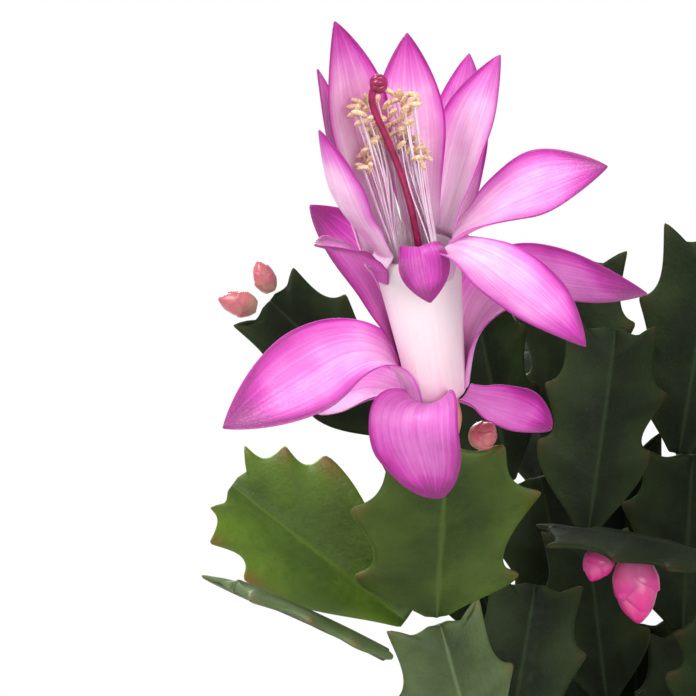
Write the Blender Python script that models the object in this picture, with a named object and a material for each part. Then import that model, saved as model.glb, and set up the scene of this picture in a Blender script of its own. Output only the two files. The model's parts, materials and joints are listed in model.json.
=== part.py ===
"""Potted Christmas cactus in flower: clay pot, soil, flat toothed stem segments, buds and an open flower.

Lengths in this file are millimetres and angles are degrees. Meshes are written in metres, +Z up, with the
origin at the centre of the pot's foot. -Y is the front, where the open flower hangs over the pot.
"""

import math
from collections import namedtuple

import bmesh
import bpy
from mathutils import Matrix, Vector

MM = 0.001  # metres in a millimetre

# ---------------------------------------------------------------- driving dimensions

CLEARANCE = 0.4  # left between two solids that touch on the real plant

POT_HEIGHT = 98.0
POT_TOP_RADIUS = 58.0
POT_FOOT_RADIUS = 41.0
POT_WALL = 5.0
RIM_HEIGHT = 24.0
RIM_STEP = 3.0  # how far the rim stands out from the wall below it
DRAIN_RADIUS = 4.5
DRAIN_CIRCLE = 21.0  # radius of the circle the drain holes stand on
DRAIN_COUNT = 3
ROUND_STEPS = 32

SOIL_TOP = 86.0
SOIL_CROWN = 1.5  # how much higher the soil is in the middle
SOIL_MOUND_RADIUS = 30.0

BLADE_THICK = 2.6  # a stem segment along its midrib
BLADE_EDGE_SHARE = 0.4  # share of that thickness left at the margin
NECK_HALF = 1.9  # half the width of the joint between two segments
SEAT_STEP = 4.2  # sideways distance between two segments that share a joint

FLOWER_LEAN_FRONT = 17.3
FLOWER_LEAN_LEFT = 9.0
TUBE_LENGTH = 26.0
TUBE_WALL = 0.8
TUBE_RADII = ((0.0, 3.3), (1.6, 4.3), (8.0, 4.7), (16.0, 5.4), (23.0, 6.0), (26.0, 6.3))
THROAT_FLOOR = 6.0  # height of the floor of the tube's hollow
OVARY_LENGTH = 8.6
TEPAL_THICK = 0.7

# ---------------------------------------------------------------- materials

COLOURS = {  # name: (red, green, blue), roughness
    "clay": ((0.50, 0.20, 0.11), 0.85),
    "soil": ((0.05, 0.033, 0.022), 0.95),
    "segment": ((0.07, 0.16, 0.03), 0.42),
    "old_stem": ((0.10, 0.14, 0.05), 0.6),
    "tube": ((0.86, 0.66, 0.70), 0.45),
    "tepal": ((0.75, 0.13, 0.56), 0.45),
    "ovary": ((0.45, 0.42, 0.18), 0.45),
    "style": ((0.52, 0.0, 0.13), 0.4),
    "stamen": ((0.86, 0.66, 0.42), 0.7),
    "bud": ((0.78, 0.15, 0.36), 0.4),
}


def material(name):
    """The named material, made the first time it is asked for."""
    if name in bpy.data.materials:
        return bpy.data.materials[name]
    colour, roughness = COLOURS[name]
    made = bpy.data.materials.new(name)
    made.use_nodes = True
    shader = made.node_tree.nodes["Principled BSDF"]
    shader.inputs["Base Color"].default_value = (*colour, 1.0)
    shader.inputs["Roughness"].default_value = roughness
    shader.inputs["Metallic"].default_value = 0.0
    return made


# ---------------------------------------------------------------- small helpers


def add_object(name, mesh_or_bmesh, finish, parent=None, smooth=True):
    """A scene object from a mesh or a bmesh in millimetres, with its material."""
    if isinstance(mesh_or_bmesh, bmesh.types.BMesh):
        mesh = bpy.data.meshes.new(name)
        bmesh.ops.scale(mesh_or_bmesh, vec=(MM, MM, MM), verts=mesh_or_bmesh.verts)
        mesh_or_bmesh.to_mesh(mesh)
        mesh_or_bmesh.free()
    else:
        mesh = mesh_or_bmesh
    obj = bpy.data.objects.new(name, mesh)
    bpy.context.scene.collection.objects.link(obj)
    obj.data.materials.append(material(finish))
    obj.parent = parent
    if smooth:
        mesh.shade_smooth()
        mesh.set_sharp_from_angle(angle=math.radians(40))
    return obj


def turned(profile, steps=ROUND_STEPS):
    """A closed solid of revolution about Z from (radius, height) points that start and end on the axis."""
    bm = bmesh.new()
    points = [bm.verts.new((radius, 0.0, height)) for radius, height in profile]
    edges = [bm.edges.new(pair) for pair in zip(points, points[1:])]
    bmesh.ops.spin(
        bm,
        geom=points + edges,
        cent=(0, 0, 0),
        axis=(0, 0, 1),
        angle=math.tau,
        steps=steps,
        use_merge=True,
    )
    bmesh.ops.remove_doubles(bm, verts=bm.verts, dist=1e-4)
    bmesh.ops.recalc_face_normals(bm, faces=bm.faces)
    return bm


def sheet(rows):
    """An open sheet of faces through rows of points; a row of one point closes the sheet to a tip."""
    bm = bmesh.new()
    add_rows(bm, rows)
    return bm


def add_rows(bm, rows):
    rings = [[bm.verts.new(point) for point in row] for row in rows]
    for low, high in zip(rings, rings[1:]):
        for i in range(max(len(low), len(high)) - 1):
            corners = [low[min(i, len(low) - 1)], low[min(i + 1, len(low) - 1)]]
            corners += [high[min(i + 1, len(high) - 1)], high[min(i, len(high) - 1)]]
            bm.faces.new(list(dict.fromkeys(corners)))


def thicken(obj, thickness, weights=None, least=1.0):
    """Gives a sheet its thickness. weights holds a share of it for each vertex, from least to 1."""
    solid = obj.modifiers.new("thickness", "SOLIDIFY")
    solid.thickness = thickness * MM
    solid.offset = 0.0
    if weights:
        group = obj.vertex_groups.new(name="thick")
        for index, share in enumerate(weights):
            group.add([index], (share - least) / (1 - least), "REPLACE")
        solid.vertex_group = group.name
        solid.thickness_vertex_group = least


def turn_z(degrees):
    return Matrix.Rotation(math.radians(degrees), 4, "Z")


def turn_y(degrees):
    return Matrix.Rotation(math.radians(degrees), 4, "Y")


def turn_x(degrees):
    return Matrix.Rotation(math.radians(degrees), 4, "X")


def smooth_step(x):
    x = min(1.0, max(0.0, x))
    return x * x * (3 - 2 * x)


# ---------------------------------------------------------------- pot and soil


def wall_radius(height, inside=False):
    """Radius of the pot's tapered wall below the rim."""
    outer = POT_FOOT_RADIUS + (POT_TOP_RADIUS - RIM_STEP - POT_FOOT_RADIUS) * height / POT_HEIGHT
    return outer - POT_WALL if inside else outer


def make_pot():
    rim_low = POT_HEIGHT - RIM_HEIGHT
    profile = [
        (0.0, 0.0),
        (POT_FOOT_RADIUS - 1.5, 0.0),
        (POT_FOOT_RADIUS, 1.5),
        (wall_radius(rim_low), rim_low),
        (wall_radius(rim_low) + RIM_STEP - 0.6, rim_low + 0.8),
        (POT_TOP_RADIUS, POT_HEIGHT - 2.0),
        (POT_TOP_RADIUS - 1.5, POT_HEIGHT),
        (POT_TOP_RADIUS - RIM_STEP - POT_WALL + 1.5, POT_HEIGHT),
        (wall_radius(POT_HEIGHT, inside=True), POT_HEIGHT - 2.0),
        (wall_radius(POT_WALL, inside=True), POT_WALL),
        (0.0, POT_WALL),
    ]
    pot = add_object("pot", turned(profile), "clay")
    for number in range(DRAIN_COUNT):
        bpy.ops.mesh.primitive_cylinder_add(vertices=16, radius=DRAIN_RADIUS * MM, depth=4 * POT_WALL * MM)
        cutter = bpy.context.object
        cutter.name = f"drain_cutter_{number + 1}"
        angle = math.tau * number / DRAIN_COUNT
        cutter.location = (DRAIN_CIRCLE * MM * math.cos(angle), DRAIN_CIRCLE * MM * math.sin(angle), 0)
        cutter.hide_render = True
        cutter.display_type = "WIRE"
        cut = pot.modifiers.new(cutter.name, "BOOLEAN")
        cut.operation = "DIFFERENCE"
        cut.object = cutter
    return pot


def make_soil():
    bottom = POT_WALL + CLEARANCE
    profile = [
        (0.0, bottom),
        (wall_radius(bottom, inside=True) - CLEARANCE, bottom),
        (wall_radius(SOIL_TOP - 1.0, inside=True) - CLEARANCE, SOIL_TOP - 1.0),
        (SOIL_MOUND_RADIUS, SOIL_TOP + SOIL_CROWN),
        (0.0, SOIL_TOP + SOIL_CROWN),
    ]
    return add_object("soil", turned(profile), "soil")


# ---------------------------------------------------------------- stem segments

# Teeth of one margin, as (share of the length, share of the half width) at each tooth's tip.
# The last one is the horn at the segment's end.
TEETH = ((0.40, 0.88), (0.68, 1.0), (1.0, 0.72))
TEETH_OF = {  # segments whose teeth stand elsewhere
    "flower_segment": ((0.28, 0.84), (0.70, 1.0), (1.0, 0.56)),
    "left_upper_segment": ((0.70, 1.0), (0.88, 0.86), (1.0, 0.48)),
}
BAY_DEPTH = 0.17  # depth of the hollow between two teeth, as a share of the half width
APEX_SHARE = 0.95  # where the next joint sits, as a share of the length
ROOTED = 1.6  # how deep a segment starts inside the one it has grown together with
KNUCKLE_RADIUS = 2.4  # the swelling where a stem forks

# How closely a margin is followed: where the neck and the hollows between teeth have points, as shares of
# their length, and whether the shoulder beside the joint has one.
Sampling = namedtuple("Sampling", "neck bay shoulder")
FINE = Sampling((0.25, 0.6), (0.3, 0.65), True)  # segments round the flower
PLAIN = Sampling((0.45,), (0.4,), False)  # segments of the sprays

Link = namedtuple("Link", "azimuth lean roll length width bend")
Branch = namedtuple("Branch", "node name parent seat links")
OLD_STEMS = ("stem_front",)  # segments that have turned woody


def half_outline(length, width, teeth, sampling):
    """Points (across, along, rib) down one margin; rib is the height on the midrib that each belongs to."""
    half = width / 2
    first_along, first_across = teeth[0]
    points = [(NECK_HALF, 0.0)]
    for u in sampling.neck:
        across = NECK_HALF + (half * first_across - NECK_HALF) * math.sin(math.pi / 2 * u) ** 1.2
        points.append((across, u * first_along * length))
    for (along, across), (next_along, next_across) in zip(teeth, teeth[1:]):
        points.append((half * across, length * along))
        for u in sampling.bay:
            dip = BAY_DEPTH * math.sin(math.pi * u**0.6)
            bay_across = across + (next_across - across) * u - dip
            points.append((half * bay_across, length * (along + (next_along - along) * u)))
    points.append((half * teeth[-1][1], length))
    if sampling.shoulder:
        points.append((max(half * 0.45, NECK_HALF + 0.5), length * (APEX_SHARE - 0.02)))
    points.append((NECK_HALF, length * APEX_SHARE))
    # The midrib's rows are spread evenly, so that the margin's teeth reach forward of them.
    last = len(points) - 1
    return [(across, along, length * APEX_SHARE * i / last) for i, (across, along) in enumerate(points)]


def arc_point(along, length, bend):
    """Point on a blade that bends flatwise through an arc, and how far the blade has turned there."""
    turn = math.radians(bend) * along / length
    if abs(bend) < 0.01:
        return Vector((0, 0, along)), 0.0
    radius = length / math.radians(bend)
    return Vector((0, -radius * (1 - math.cos(turn)), radius * math.sin(turn))), turn


def blade_rows(link, teeth, sampling):
    """Rows of (left margin, midrib, right margin) in the blade's frame: Z along it, X across, Y its face."""
    rows = []
    for across, along, rib in half_outline(link.length, link.width, teeth, sampling):
        margin, _ = arc_point(along, link.length, link.bend)
        middle, _ = arc_point(rib, link.length, link.bend)
        side = Vector((across, 0, 0))
        rows.append([margin - side, middle, margin + side])
    return rows


def blade_turn(link):
    return turn_z(link.azimuth) @ turn_y(link.lean) @ turn_z(link.roll)


def blade_end(link, frame):
    """Frame of the joint at a blade's far end, for the blade that starts at frame."""
    point, turn = arc_point(link.length * APEX_SHARE, link.length, link.bend)
    return frame @ Matrix.Translation(point) @ Matrix.Rotation(turn, 4, "X")


def soil_seat(angle, ring):
    """A point on the soil, on a ring round the middle."""
    angle = math.radians(angle)
    return Vector((ring * math.cos(angle), ring * math.sin(angle), SOIL_TOP + SOIL_CROWN))


# The branches round the open flower: the one that carries it, its neighbours, and the tall ones behind it.
# Each segment near the flower is a piece of its own; rows that share a piece's name have grown together.
BRANCHES = (
    Branch("stem_front", "stem_front", None, (235, 13), (
        Link(228, 26, 75, 33, 10, 14),
        Link(218, 37, 60, 33.5, 18, 8),
    )),
    Branch("flower_stalk_segment", "flower_stalk_segment", "stem_front", 0, (
        Link(190, 14, 8, 39.5, 24, 6),
    )),
    Branch("front_right_segment", "front_right_segment", "stem_front", (-3.3, 3.5, 0), (
        Link(60, 20, -60, 40, 23, 6),
    )),
    Branch("flower_segment", "flower_segment", "flower_stalk_segment", 0, (
        Link(272, 25, 94, 38, 33, 4),
    )),
    Branch("left_upper_segment", "left_upper_segment", "flower_stalk_segment", (4.4, -2.5, 0.2), (
        Link(163, 56, 6, 40.5, 27, 4),
    )),
    Branch("left_lower_segment", "left_lower_segment", "flower_stalk_segment", (10.0, -0.2, -4.0), (
        Link(210, 58, 92, 35, 22, 6),
    )),
    Branch("stem_left_back", "stem_left_back", None, (195, 9), (
        Link(205, 14, 60, 41, 10, 8),
        Link(203, 18, 42, 45, 24, 8),
        Link(196, 22, 30, 45, 23, 6),
    )),
    Branch("left_back_segment", "left_back_segment", "stem_left_back", 0, (
        Link(184, 45, 14, 36, 22, 6),
    )),
    Branch("stem_middle_front", "stem_middle_front", None, (250, 5), (
        Link(205, 12, -15, 35, 9, 6),
        Link(200, 10, -20, 35, 22, 6),
        Link(190, 8, -15, 33, 23, 6),
    )),
    Branch("middle_segment", "middle_segment", "stem_middle_front", 0, (
        Link(20, 8, 170, 40, 25, 4),
    )),
    Branch("stem_middle_back", "stem_middle_back", None, (125, 7), (
        Link(175, 8, 40, 38, 9, 6),
        Link(182, 11, 64, 38, 23, 6),
        Link(190, 11, 6, 37, 25, 6),
    )),
    Branch("stem_middle_back", "middle_back_arm", "stem_middle_back", (0, -0.8, -0.4), (
        Link(86, 52, 100, 40, 23, 8),
        Link(92, 62, 80, 38, 22, 14),
    )),
    Branch("tall_left_segment", "tall_left_segment", "stem_middle_back", (7.0, 1.8, 0), (
        Link(206, 12, 0, 42, 24, 4),
    )),
    Branch("tall_right_segment", "tall_right_segment", "stem_middle_back", (-5.6, 1.1, 0), (
        Link(325, 2, 192, 42, 25, 4),
    )),
    Branch("stem_right_back", "stem_right_back", None, (60, 9), (
        Link(80, 5, -130, 39, 9, 6),
        Link(120, 5, -90, 39, 26, 6),
        Link(60, 3, -55, 37, 28, 6),
    )),
    Branch("stem_right_back", "right_back_arm_1", "stem_right_back", (0, 0.8, -0.4), (
        Link(70, 54, 96, 40, 23, 8),
        Link(62, 66, 84, 38, 22, 14),
    )),
    Branch("stem_right_back", "right_back_arm_2", "stem_right_back", (3.2, 0.3, 0), (
        Link(352, 46, 76, 40, 23, 8),
        Link(340, 64, 84, 38, 22, 14),
    )),
    Branch("tall_far_segment", "tall_far_segment", "stem_right_back", (-3.2, -2.3, 0), (
        Link(345, 8, 190, 43, 26, 4),
    )),
    Branch("stem_back", "stem_back", None, (97, 20), (
        Link(100, 5, -95, 38, 10, 6),
        Link(130, 6, -120, 38, 25, 6),
        Link(200, 5, -10, 38, 26, 6),
    )),
    Branch("stem_right_front", "stem_right_front", None, (300, 7), (
        Link(275, 10, 80, 37, 9, 8),
        Link(270, 18, 95, 37, 27, 8),
        Link(275, 20, 90, 36, 27, 8),
    )),
    Branch("stem_right_front", "right_front_arm", "stem_right_front", 1, (
        Link(330, 42, 70, 40, 23, 8),
        Link(322, 66, 80, 38, 22, 14),
    )),
    Branch("edge_on_segment", "edge_on_segment", "stem_right_front", -0.6, (
        Link(180, 72, 90, 34, 23, 14),
    )),
)

# The sprays that fill the rest of the crown, in rings one above another. Each stem forks into two arms.
Tier = namedtuple("Tier", "name azimuths ring stem arms spread length width")
TIERS = (
    Tier("outer_spray", (10, 62, 113, 165, 217, 268, 320), 22, (44, 72), (98, 128), 26, 34, 22),
    Tier("middle_spray", (12, 62, 124, 160, 262, 313), 15, (30, 58), (92, 118), 28, 36, 23),
)


def wobble(*seeds):
    """A fixed number between -1 and 1 that differs from one plant part to the next."""
    return math.sin(sum(seed * step for seed, step in zip(seeds, (12.9898, 78.233, 37.719))) + 0.7)


def spray_branches():
    """The rows of every spray in the tiers."""
    made = []
    for level, tier in enumerate(TIERS):
        for number, azimuth in enumerate(tier.azimuths):
            node = f"{tier.name}_{number + 1}"
            links = []
            for step, lean in enumerate(tier.stem):
                links.append(
                    Link(
                        azimuth + 4 * wobble(level, number, step),
                        lean + 3 * wobble(level, number, step + 5),
                        90 + 10 * wobble(level, number, step + 9),
                        tier.length,
                        tier.width * (0.42 if step == 0 else 0.9),
                        10,
                    )
                )
            made.append(Branch(node, node, None, (azimuth, tier.ring), tuple(links)))
            for side in (-1, 1):
                links = []
                for step, lean in enumerate(tier.arms):
                    links.append(
                        Link(
                            azimuth + side * tier.spread * (1 + 0.25 * step),
                            lean + 7 * wobble(level, number, step + 3 * side),
                            90 + 14 * wobble(level, number, step + 11 * side),
                            tier.length * (1 + 0.06 * wobble(level, number, side)),
                            tier.width,
                            12,
                        )
                    )
                made.append(Branch(node, f"{node}_{side}", node, side, tuple(links)))
    return made


def branch_start(branch, joints, fused):
    """Frame in which a branch's first segment starts: on the soil, or beside the joint that carries it."""
    turn = blade_turn(branch.links[0])
    if branch.parent is None:
        joint = Matrix.Translation(soil_seat(*branch.seat))
        foot = Vector((0, 0, 0))
    else:
        joint = joints[branch.parent]
        foot = Vector(branch.seat if isinstance(branch.seat, tuple) else (branch.seat * SEAT_STEP, 0, 0))
    if fused:
        foot.z -= ROOTED
    else:
        # A blade that leans out of line dips a corner of its foot, so it stands that much higher.
        up = joint.to_3x3() @ Vector((0, 0, 1))
        dip = NECK_HALF * abs(up.dot(turn.to_3x3() @ Vector((1, 0, 0))))
        dip += BLADE_THICK / 2 * abs(up.dot(turn.to_3x3() @ Vector((0, 1, 0))))
        foot.z += CLEARANCE + dip
    return Matrix.Translation(joint @ foot) @ turn


def make_branches():
    """Every stem segment, each on the joint of the one that carries it. Returns each branch's last joint."""
    joints, sheets = {}, {}
    for sampling, branches in ((FINE, BRANCHES), (PLAIN, spray_branches())):
        for branch in branches:
            fused = branch.node in sheets
            place = branch_start(branch, joints, fused)
            if not fused:
                sheets[branch.node] = (place, bmesh.new(), [], [])
            node_place, bm, shares, grown = sheets[branch.node]
            grown.append(branch.name)
            to_local = node_place.inverted()
            rows, frame = [], place
            for number, link in enumerate(branch.links):
                if number:
                    frame = Matrix.Translation(frame.to_translation()) @ blade_turn(link)
                teeth = TEETH_OF.get(branch.node, TEETH)
                for row in blade_rows(link, teeth, sampling)[1 if number else 0 :]:
                    rows.append([to_local @ frame @ point for point in row])
                    shares += [BLADE_EDGE_SHARE, 1.0, BLADE_EDGE_SHARE]
                frame = blade_end(link, frame)
            joints[branch.name] = frame
            add_rows(bm, rows)
    for node, (place, bm, shares, grown) in sheets.items():
        obj = add_object(node, bm, "old_stem" if node in OLD_STEMS else "segment")
        obj.location = place.to_translation() * MM
        obj.rotation_euler = place.to_euler()
        thicken(obj, BLADE_THICK, shares, BLADE_EDGE_SHARE)
        if len(grown) > 1:
            fuse(obj, joints[node])
    return joints


def fuse(obj, joint):
    """Joins the segments of a branch into one body, with a swollen knuckle at its fork."""
    bpy.ops.mesh.primitive_uv_sphere_add(segments=8, ring_count=6, radius=KNUCKLE_RADIUS * MM)
    knuckle = bpy.context.object
    knuckle.name = obj.name + "_knuckle"
    knuckle.location = joint.to_translation() * MM
    knuckle.hide_render = True
    knuckle.display_type = "WIRE"
    join = obj.modifiers.new("fused", "BOOLEAN")
    join.operation = "UNION"
    join.solver = "EXACT"
    join.use_self = True
    join.object = knuckle


# ---------------------------------------------------------------- the flower


def flower_frame(joint):
    """Empty at the base of the floral tube, its Z along the tube; every piece of the flower hangs on it."""
    empty = bpy.data.objects.new("flower", None)
    bpy.context.scene.collection.objects.link(empty)
    lean = turn_x(FLOWER_LEAN_FRONT) @ turn_y(-FLOWER_LEAN_LEFT)
    empty.location = (joint.to_translation() + lean @ Vector((0, 0, OVARY_LENGTH + 0.7))) * MM
    empty.rotation_euler = lean.to_euler()
    return empty


def tube_radius(height):
    """Outside radius of the floral tube at a height above its base."""
    for (low, narrow), (high, wide) in zip(TUBE_RADII, TUBE_RADII[1:]):
        if height <= high:
            return narrow + (wide - narrow) * (height - low) / (high - low)
    return TUBE_RADII[-1][1]


def make_tube(flower):
    outer = [(radius, height) for height, radius in TUBE_RADII]
    inner = [(radius - TUBE_WALL, height) for height, radius in reversed(TUBE_RADII) if height > THROAT_FLOOR]
    floor = [(tube_radius(THROAT_FLOOR) - TUBE_WALL, THROAT_FLOOR), (0.0, THROAT_FLOOR)]
    profile = [(0.0, 0.0)] + outer + inner + floor
    return add_object("floral_tube", turned(profile, 16), "tube", flower)


def make_ovary(flower):
    top = -CLEARANCE
    low = -OVARY_LENGTH
    profile = [(0.0, low), (1.4, low), (2.5, low + 2.0), (3.1, low + 4.5), (2.9, top), (0.0, top)]
    return add_object("ovary", turned(profile, 14), "ovary", flower)


# One row for each tepal: azimuth round the tube (0 right, 90 back), its foot's height and distance from the
# tube's wall, length, width, where it is widest (share of its length), the angle it rises at, the angle it
# ends at, where it bends, its twist, and how far its edges cup inwards.
Tepal = namedtuple("Tepal", "name azimuth height off length width widest rise fall knee twist cup")

TEPALS = (
    Tepal("lower_tepal_left", 196, 1.5, 0.9, 36.5, 13.6, 0.55, 86, -18, 0.26, -38, 30),
    Tepal("lower_tepal_back_left", 164, 0.2, 0.9, 18, 11.5, 0.55, 14, -22, 0.40, -15, 30),
    Tepal("lower_tepal_front", 251, 0.8, 0.9, 20.5, 14.5, 0.25, 40, -100, 0.22, 0, 40),
    Tepal("lower_tepal_right", 334, 0.2, 0.9, 15, 10.5, 0.55, -16, -18, 0.50, 5, 30),
    Tepal("lower_tepal_right_back", 22, 1.0, 0.9, 44, 13.5, 0.55, 75, -24, 0.35, 22, 30),
    Tepal("lower_tepal_back", 142, 6.6, 0.9, 29, 14, 0.55, 78, 40, 0.50, 0, 30),
    Tepal("upper_tepal_back_left", 147, 26.4, -0.5, 35, 12.5, 0.55, 82, 91, 0.50, -10, 40),
    Tepal("upper_tepal_back", 74, 26.4, -0.5, 30, 10.8, 0.55, 79, 75, 0.50, 0, 40),
    Tepal("upper_tepal_back_right_outer", 52, 20.8, 2.9, 31.2, 10.5, 0.55, 71, 66, 0.50, 0, 15),
    Tepal("upper_tepal_back_right", 35, 26.4, -0.5, 28, 12.0, 0.55, 59, 57, 0.50, 0, 40),
    Tepal("upper_tepal_right", -5, 26.4, -0.5, 26, 12.6, 0.55, 27, 15, 0.40, 28, 40),
    Tepal("upper_tepal_left_outer", 166, 23.6, 1.7, 31.6, 9.5, 0.55, 82, 88, 0.50, 0, 20),
    Tepal("upper_tepal_left", 213, 26.4, -0.5, 24, 9.5, 0.55, 60, 85, 0.50, 0, 45),
    Tepal("upper_tepal_front_left", 212, 24.6, 0.8, 12.5, 8.5, 0.55, 48, 30, 0.40, 0, 30),
    Tepal("upper_tepal_front", 277, 26.4, -0.5, 11.5, 7.2, 0.5, 85, -75, 0.24, 0, 30),
    Tepal("upper_tepal_front_right", 314, 26.4, -0.5, 29, 12, 0.5, 16, -27, 0.15, 0, 30),
)

TEPAL_ROWS = 8
TEPAL_COLUMNS = 4
CLAW_SHARE = 0.34  # width of a tepal's foot, as a share of its widest


def tepal_half_width(tepal, s):
    """Half width at a share s of the length: a narrow claw, widest past the middle, then a pointed tip."""
    if s < tepal.widest:
        share = CLAW_SHARE + (1 - CLAW_SHARE) * smooth_step(s / tepal.widest)
    else:
        share = math.cos(math.pi / 2 * (s - tepal.widest) / (1 - tepal.widest)) ** 0.9
    return tepal.width / 2 * share


def tepal_rows(tepal, rows, columns):
    """Points of a tepal in its own frame: X away from the tube, Y sideways, Z along the tube."""
    spine, made = Vector((0, 0, 0)), []
    steps_per_row = 6
    for row in range(rows + 1):
        s = row / rows
        for step in range(steps_per_row if row else 0):
            t = (row - 1 + (step + 0.5) / steps_per_row) / rows
            spine = spine + tepal_turn(tepal, t) @ Vector((0, 0, tepal.length / rows / steps_per_row))
        half = tepal_half_width(tepal, s)
        if row == rows:
            made.append([spine.copy()])
            continue
        turn = tepal_turn(tepal, s)
        hug = min(half / tube_radius(tepal.height), 1.2)
        cup = hug + (math.radians(tepal.cup) - hug) * smooth_step(s / 0.5)
        across = []
        for column in range(columns + 1):
            v = cup * (2 * column / columns - 1)
            offset = Vector((-half * (1 - math.cos(v)) / cup, half * math.sin(v) / cup, 0))
            across.append(spine + turn @ offset)
        made.append(across)
    return made


def tepal_turn(tepal, s):
    """Turn of the tepal's blade at a share s of its length: its own Z runs along it and -X faces the axis."""
    rise = tepal.rise + (tepal.fall - tepal.rise) * smooth_step((s - tepal.knee) / 0.5 + 0.5)
    turn = turn_y(90 - rise) @ turn_z(tepal.twist * smooth_step(s / 0.6))
    return turn.to_3x3()


def make_tepals(flower):
    for tepal in TEPALS:
        obj = add_object(tepal.name, sheet(tepal_rows(tepal, TEPAL_ROWS, TEPAL_COLUMNS)), "tepal", flower)
        distance = tube_radius(tepal.height) + tepal.off
        angle = math.radians(tepal.azimuth)
        obj.location = Vector((distance * math.cos(angle), distance * math.sin(angle), tepal.height)) * MM
        obj.rotation_euler = (0, 0, angle)
        thicken(obj, TEPAL_THICK)


# The style's middle line above the throat's floor: (sideways, towards the back, height, radius).
STYLE_LINE = (
    (0.0, 0.0, 6.4, 0.8),
    (0.2, 0.0, 14.0, 0.8),
    (0.6, -0.4, 26.0, 0.8),
    (0.0, -0.8, 36.0, 0.8),
    (-1.6, -1.2, 44.0, 0.85),
    (-2.8, -1.4, 49.0, 0.9),
    (-2.6, -1.4, 51.4, 1.15),
    (-1.5, -1.4, 52.6, 1.5),
    (-0.5, -1.4, 52.4, 1.1),
)
FILAMENTS = 12
FILAMENT_HALF = 0.25  # half the thickness of a filament
ANTHER_HALF = 0.6
CORNERS = ((-1, -1), (1, -1), (1, 1), (-1, 1))  # of a filament's square section, in turn


def make_pistil(flower):
    """Style and stigma: a curve that thickens into a knob where it hooks over."""
    data = bpy.data.curves.new("pistil", "CURVE")
    data.dimensions = "3D"
    data.bevel_depth = MM
    data.bevel_resolution = 2
    data.use_fill_caps = True
    line = data.splines.new("POLY")
    line.points.add(len(STYLE_LINE) - 1)
    for point, (x, y, z, radius) in zip(line.points, STYLE_LINE):
        point.co = (x * MM, y * MM, z * MM, 1)
        point.radius = radius
    obj = bpy.data.objects.new("pistil", data)
    bpy.context.scene.collection.objects.link(obj)
    data.materials.append(material("style"))
    obj.parent = flower
    return obj


def draw_out(bm, face, centre, corners):
    """Extrudes a four-sided face to new corners round a centre, each corner going to the nearest free one."""
    face = bmesh.ops.extrude_discrete_faces(bm, faces=[face])["faces"][0]
    wanted = [centre + corner for corner in corners]
    turns = [wanted[k:] + wanted[:k] for k in range(4)]
    turns += [list(reversed(turn)) for turn in turns]
    nearest = min(turns, key=lambda turn: sum((spot - vert.co).length for spot, vert in zip(turn, face.verts)))
    for vert, spot in zip(face.verts, nearest):
        vert.co = spot
    return face


def make_stamens(flower):
    """A ring in the throat that grows a filament with an anther from each of its top faces."""
    low, high = THROAT_FLOOR + CLEARANCE, THROAT_FLOOR + 1.6
    bm = bmesh.new()
    rings = []
    for radius, height in ((1.5, low), (3.4, low), (3.4, high), (1.5, high)):
        ring = []
        for step in range(FILAMENTS):
            angle = math.tau * step / FILAMENTS
            ring.append(bm.verts.new((radius * math.cos(angle), radius * math.sin(angle), height)))
        rings.append(ring)
    tops = []
    for index, ring in enumerate(rings):
        following = rings[(index + 1) % len(rings)]
        for step in range(FILAMENTS):
            after = (step + 1) % FILAMENTS
            face = bm.faces.new((ring[step], ring[after], following[after], following[step]))
            if index == 2:
                tops.append(face)
    bmesh.ops.recalc_face_normals(bm, faces=bm.faces)
    for step, face in enumerate(tops):
        angle = math.tau * (step + 0.5) / FILAMENTS
        out = Vector((math.cos(angle), math.sin(angle), 0))
        side = Vector((-math.sin(angle), math.cos(angle), 0))
        reach = 43.5 + 4 * wobble(step, 1)
        spread = 4.7 + 0.8 * wobble(step, 2)
        # (distance from the middle, height, half thickness) up the filament and over the anther.
        path = (
            (2.5, high + 0.6, FILAMENT_HALF),
            (3.2, 24, FILAMENT_HALF),
            (0.5 * (3.2 + spread), reach - 7, FILAMENT_HALF),
            (spread, reach, FILAMENT_HALF),
            (spread + 0.1, reach + 0.5, ANTHER_HALF),
            (spread + 0.4, reach + 2.2, ANTHER_HALF),
            (spread + 0.5, reach + 2.8, FILAMENT_HALF),
        )
        for distance, height, half in path:
            centre = out * distance + Vector((0, 0, height))
            corners = [(across * side + away * out) * half for across, away in CORNERS]
            face = draw_out(bm, face, centre, corners)
    bmesh.ops.recalc_face_normals(bm, faces=bm.faces)
    return add_object("stamens", bm, "stamen", flower, smooth=False)


# ---------------------------------------------------------------- buds

# One row for each bud: the branch it grows on, where its foot is in that branch's last joint (across, out,
# along), the way it points, its length and its width.
Bud = namedtuple("Bud", "name parent foot azimuth lean length width")
BUDS = (
    Bud("bud_left_tip_small", "left_back_segment", (-1.5, 0, 0.8), 180, 24, 6, 3.8),
    Bud("bud_left_tip", "left_back_segment", (2.2, 0, 0.8), 180, 78, 7, 4.6),
    Bud("bud_behind_flower", "tall_left_segment", (0, 0, 0.6), 200, 8, 9, 5.0),
    Bud("bud_beside_ovary", "flower_segment", (4.6, 0, 0.6), 320, 45, 5, 4.4),
    Bud("bud_hanging", "edge_on_segment", (0, -2.6, -14.3), 300, 172, 11.5, 7.6),
    Bud("bud_hanging_small", "edge_on_segment", (0, -1.9, -9.3), 195, 158, 6, 5.0),
)


def make_buds(joints):
    for bud in BUDS:
        half = bud.width / 2
        profile = [(0.0, 0.0), (half * 0.45, 0.0), (half * 0.85, bud.length * 0.2), (half, bud.length * 0.42)]
        profile += [(half * 0.8, bud.length * 0.7), (half * 0.35, bud.length * 0.92), (0.0, bud.length)]
        obj = add_object(bud.name, turned(profile, 12), "bud")
        obj.location = joints[bud.parent] @ Vector(bud.foot) * MM
        obj.rotation_euler = (turn_z(bud.azimuth) @ turn_y(bud.lean)).to_euler()


# ---------------------------------------------------------------- the plant


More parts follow.
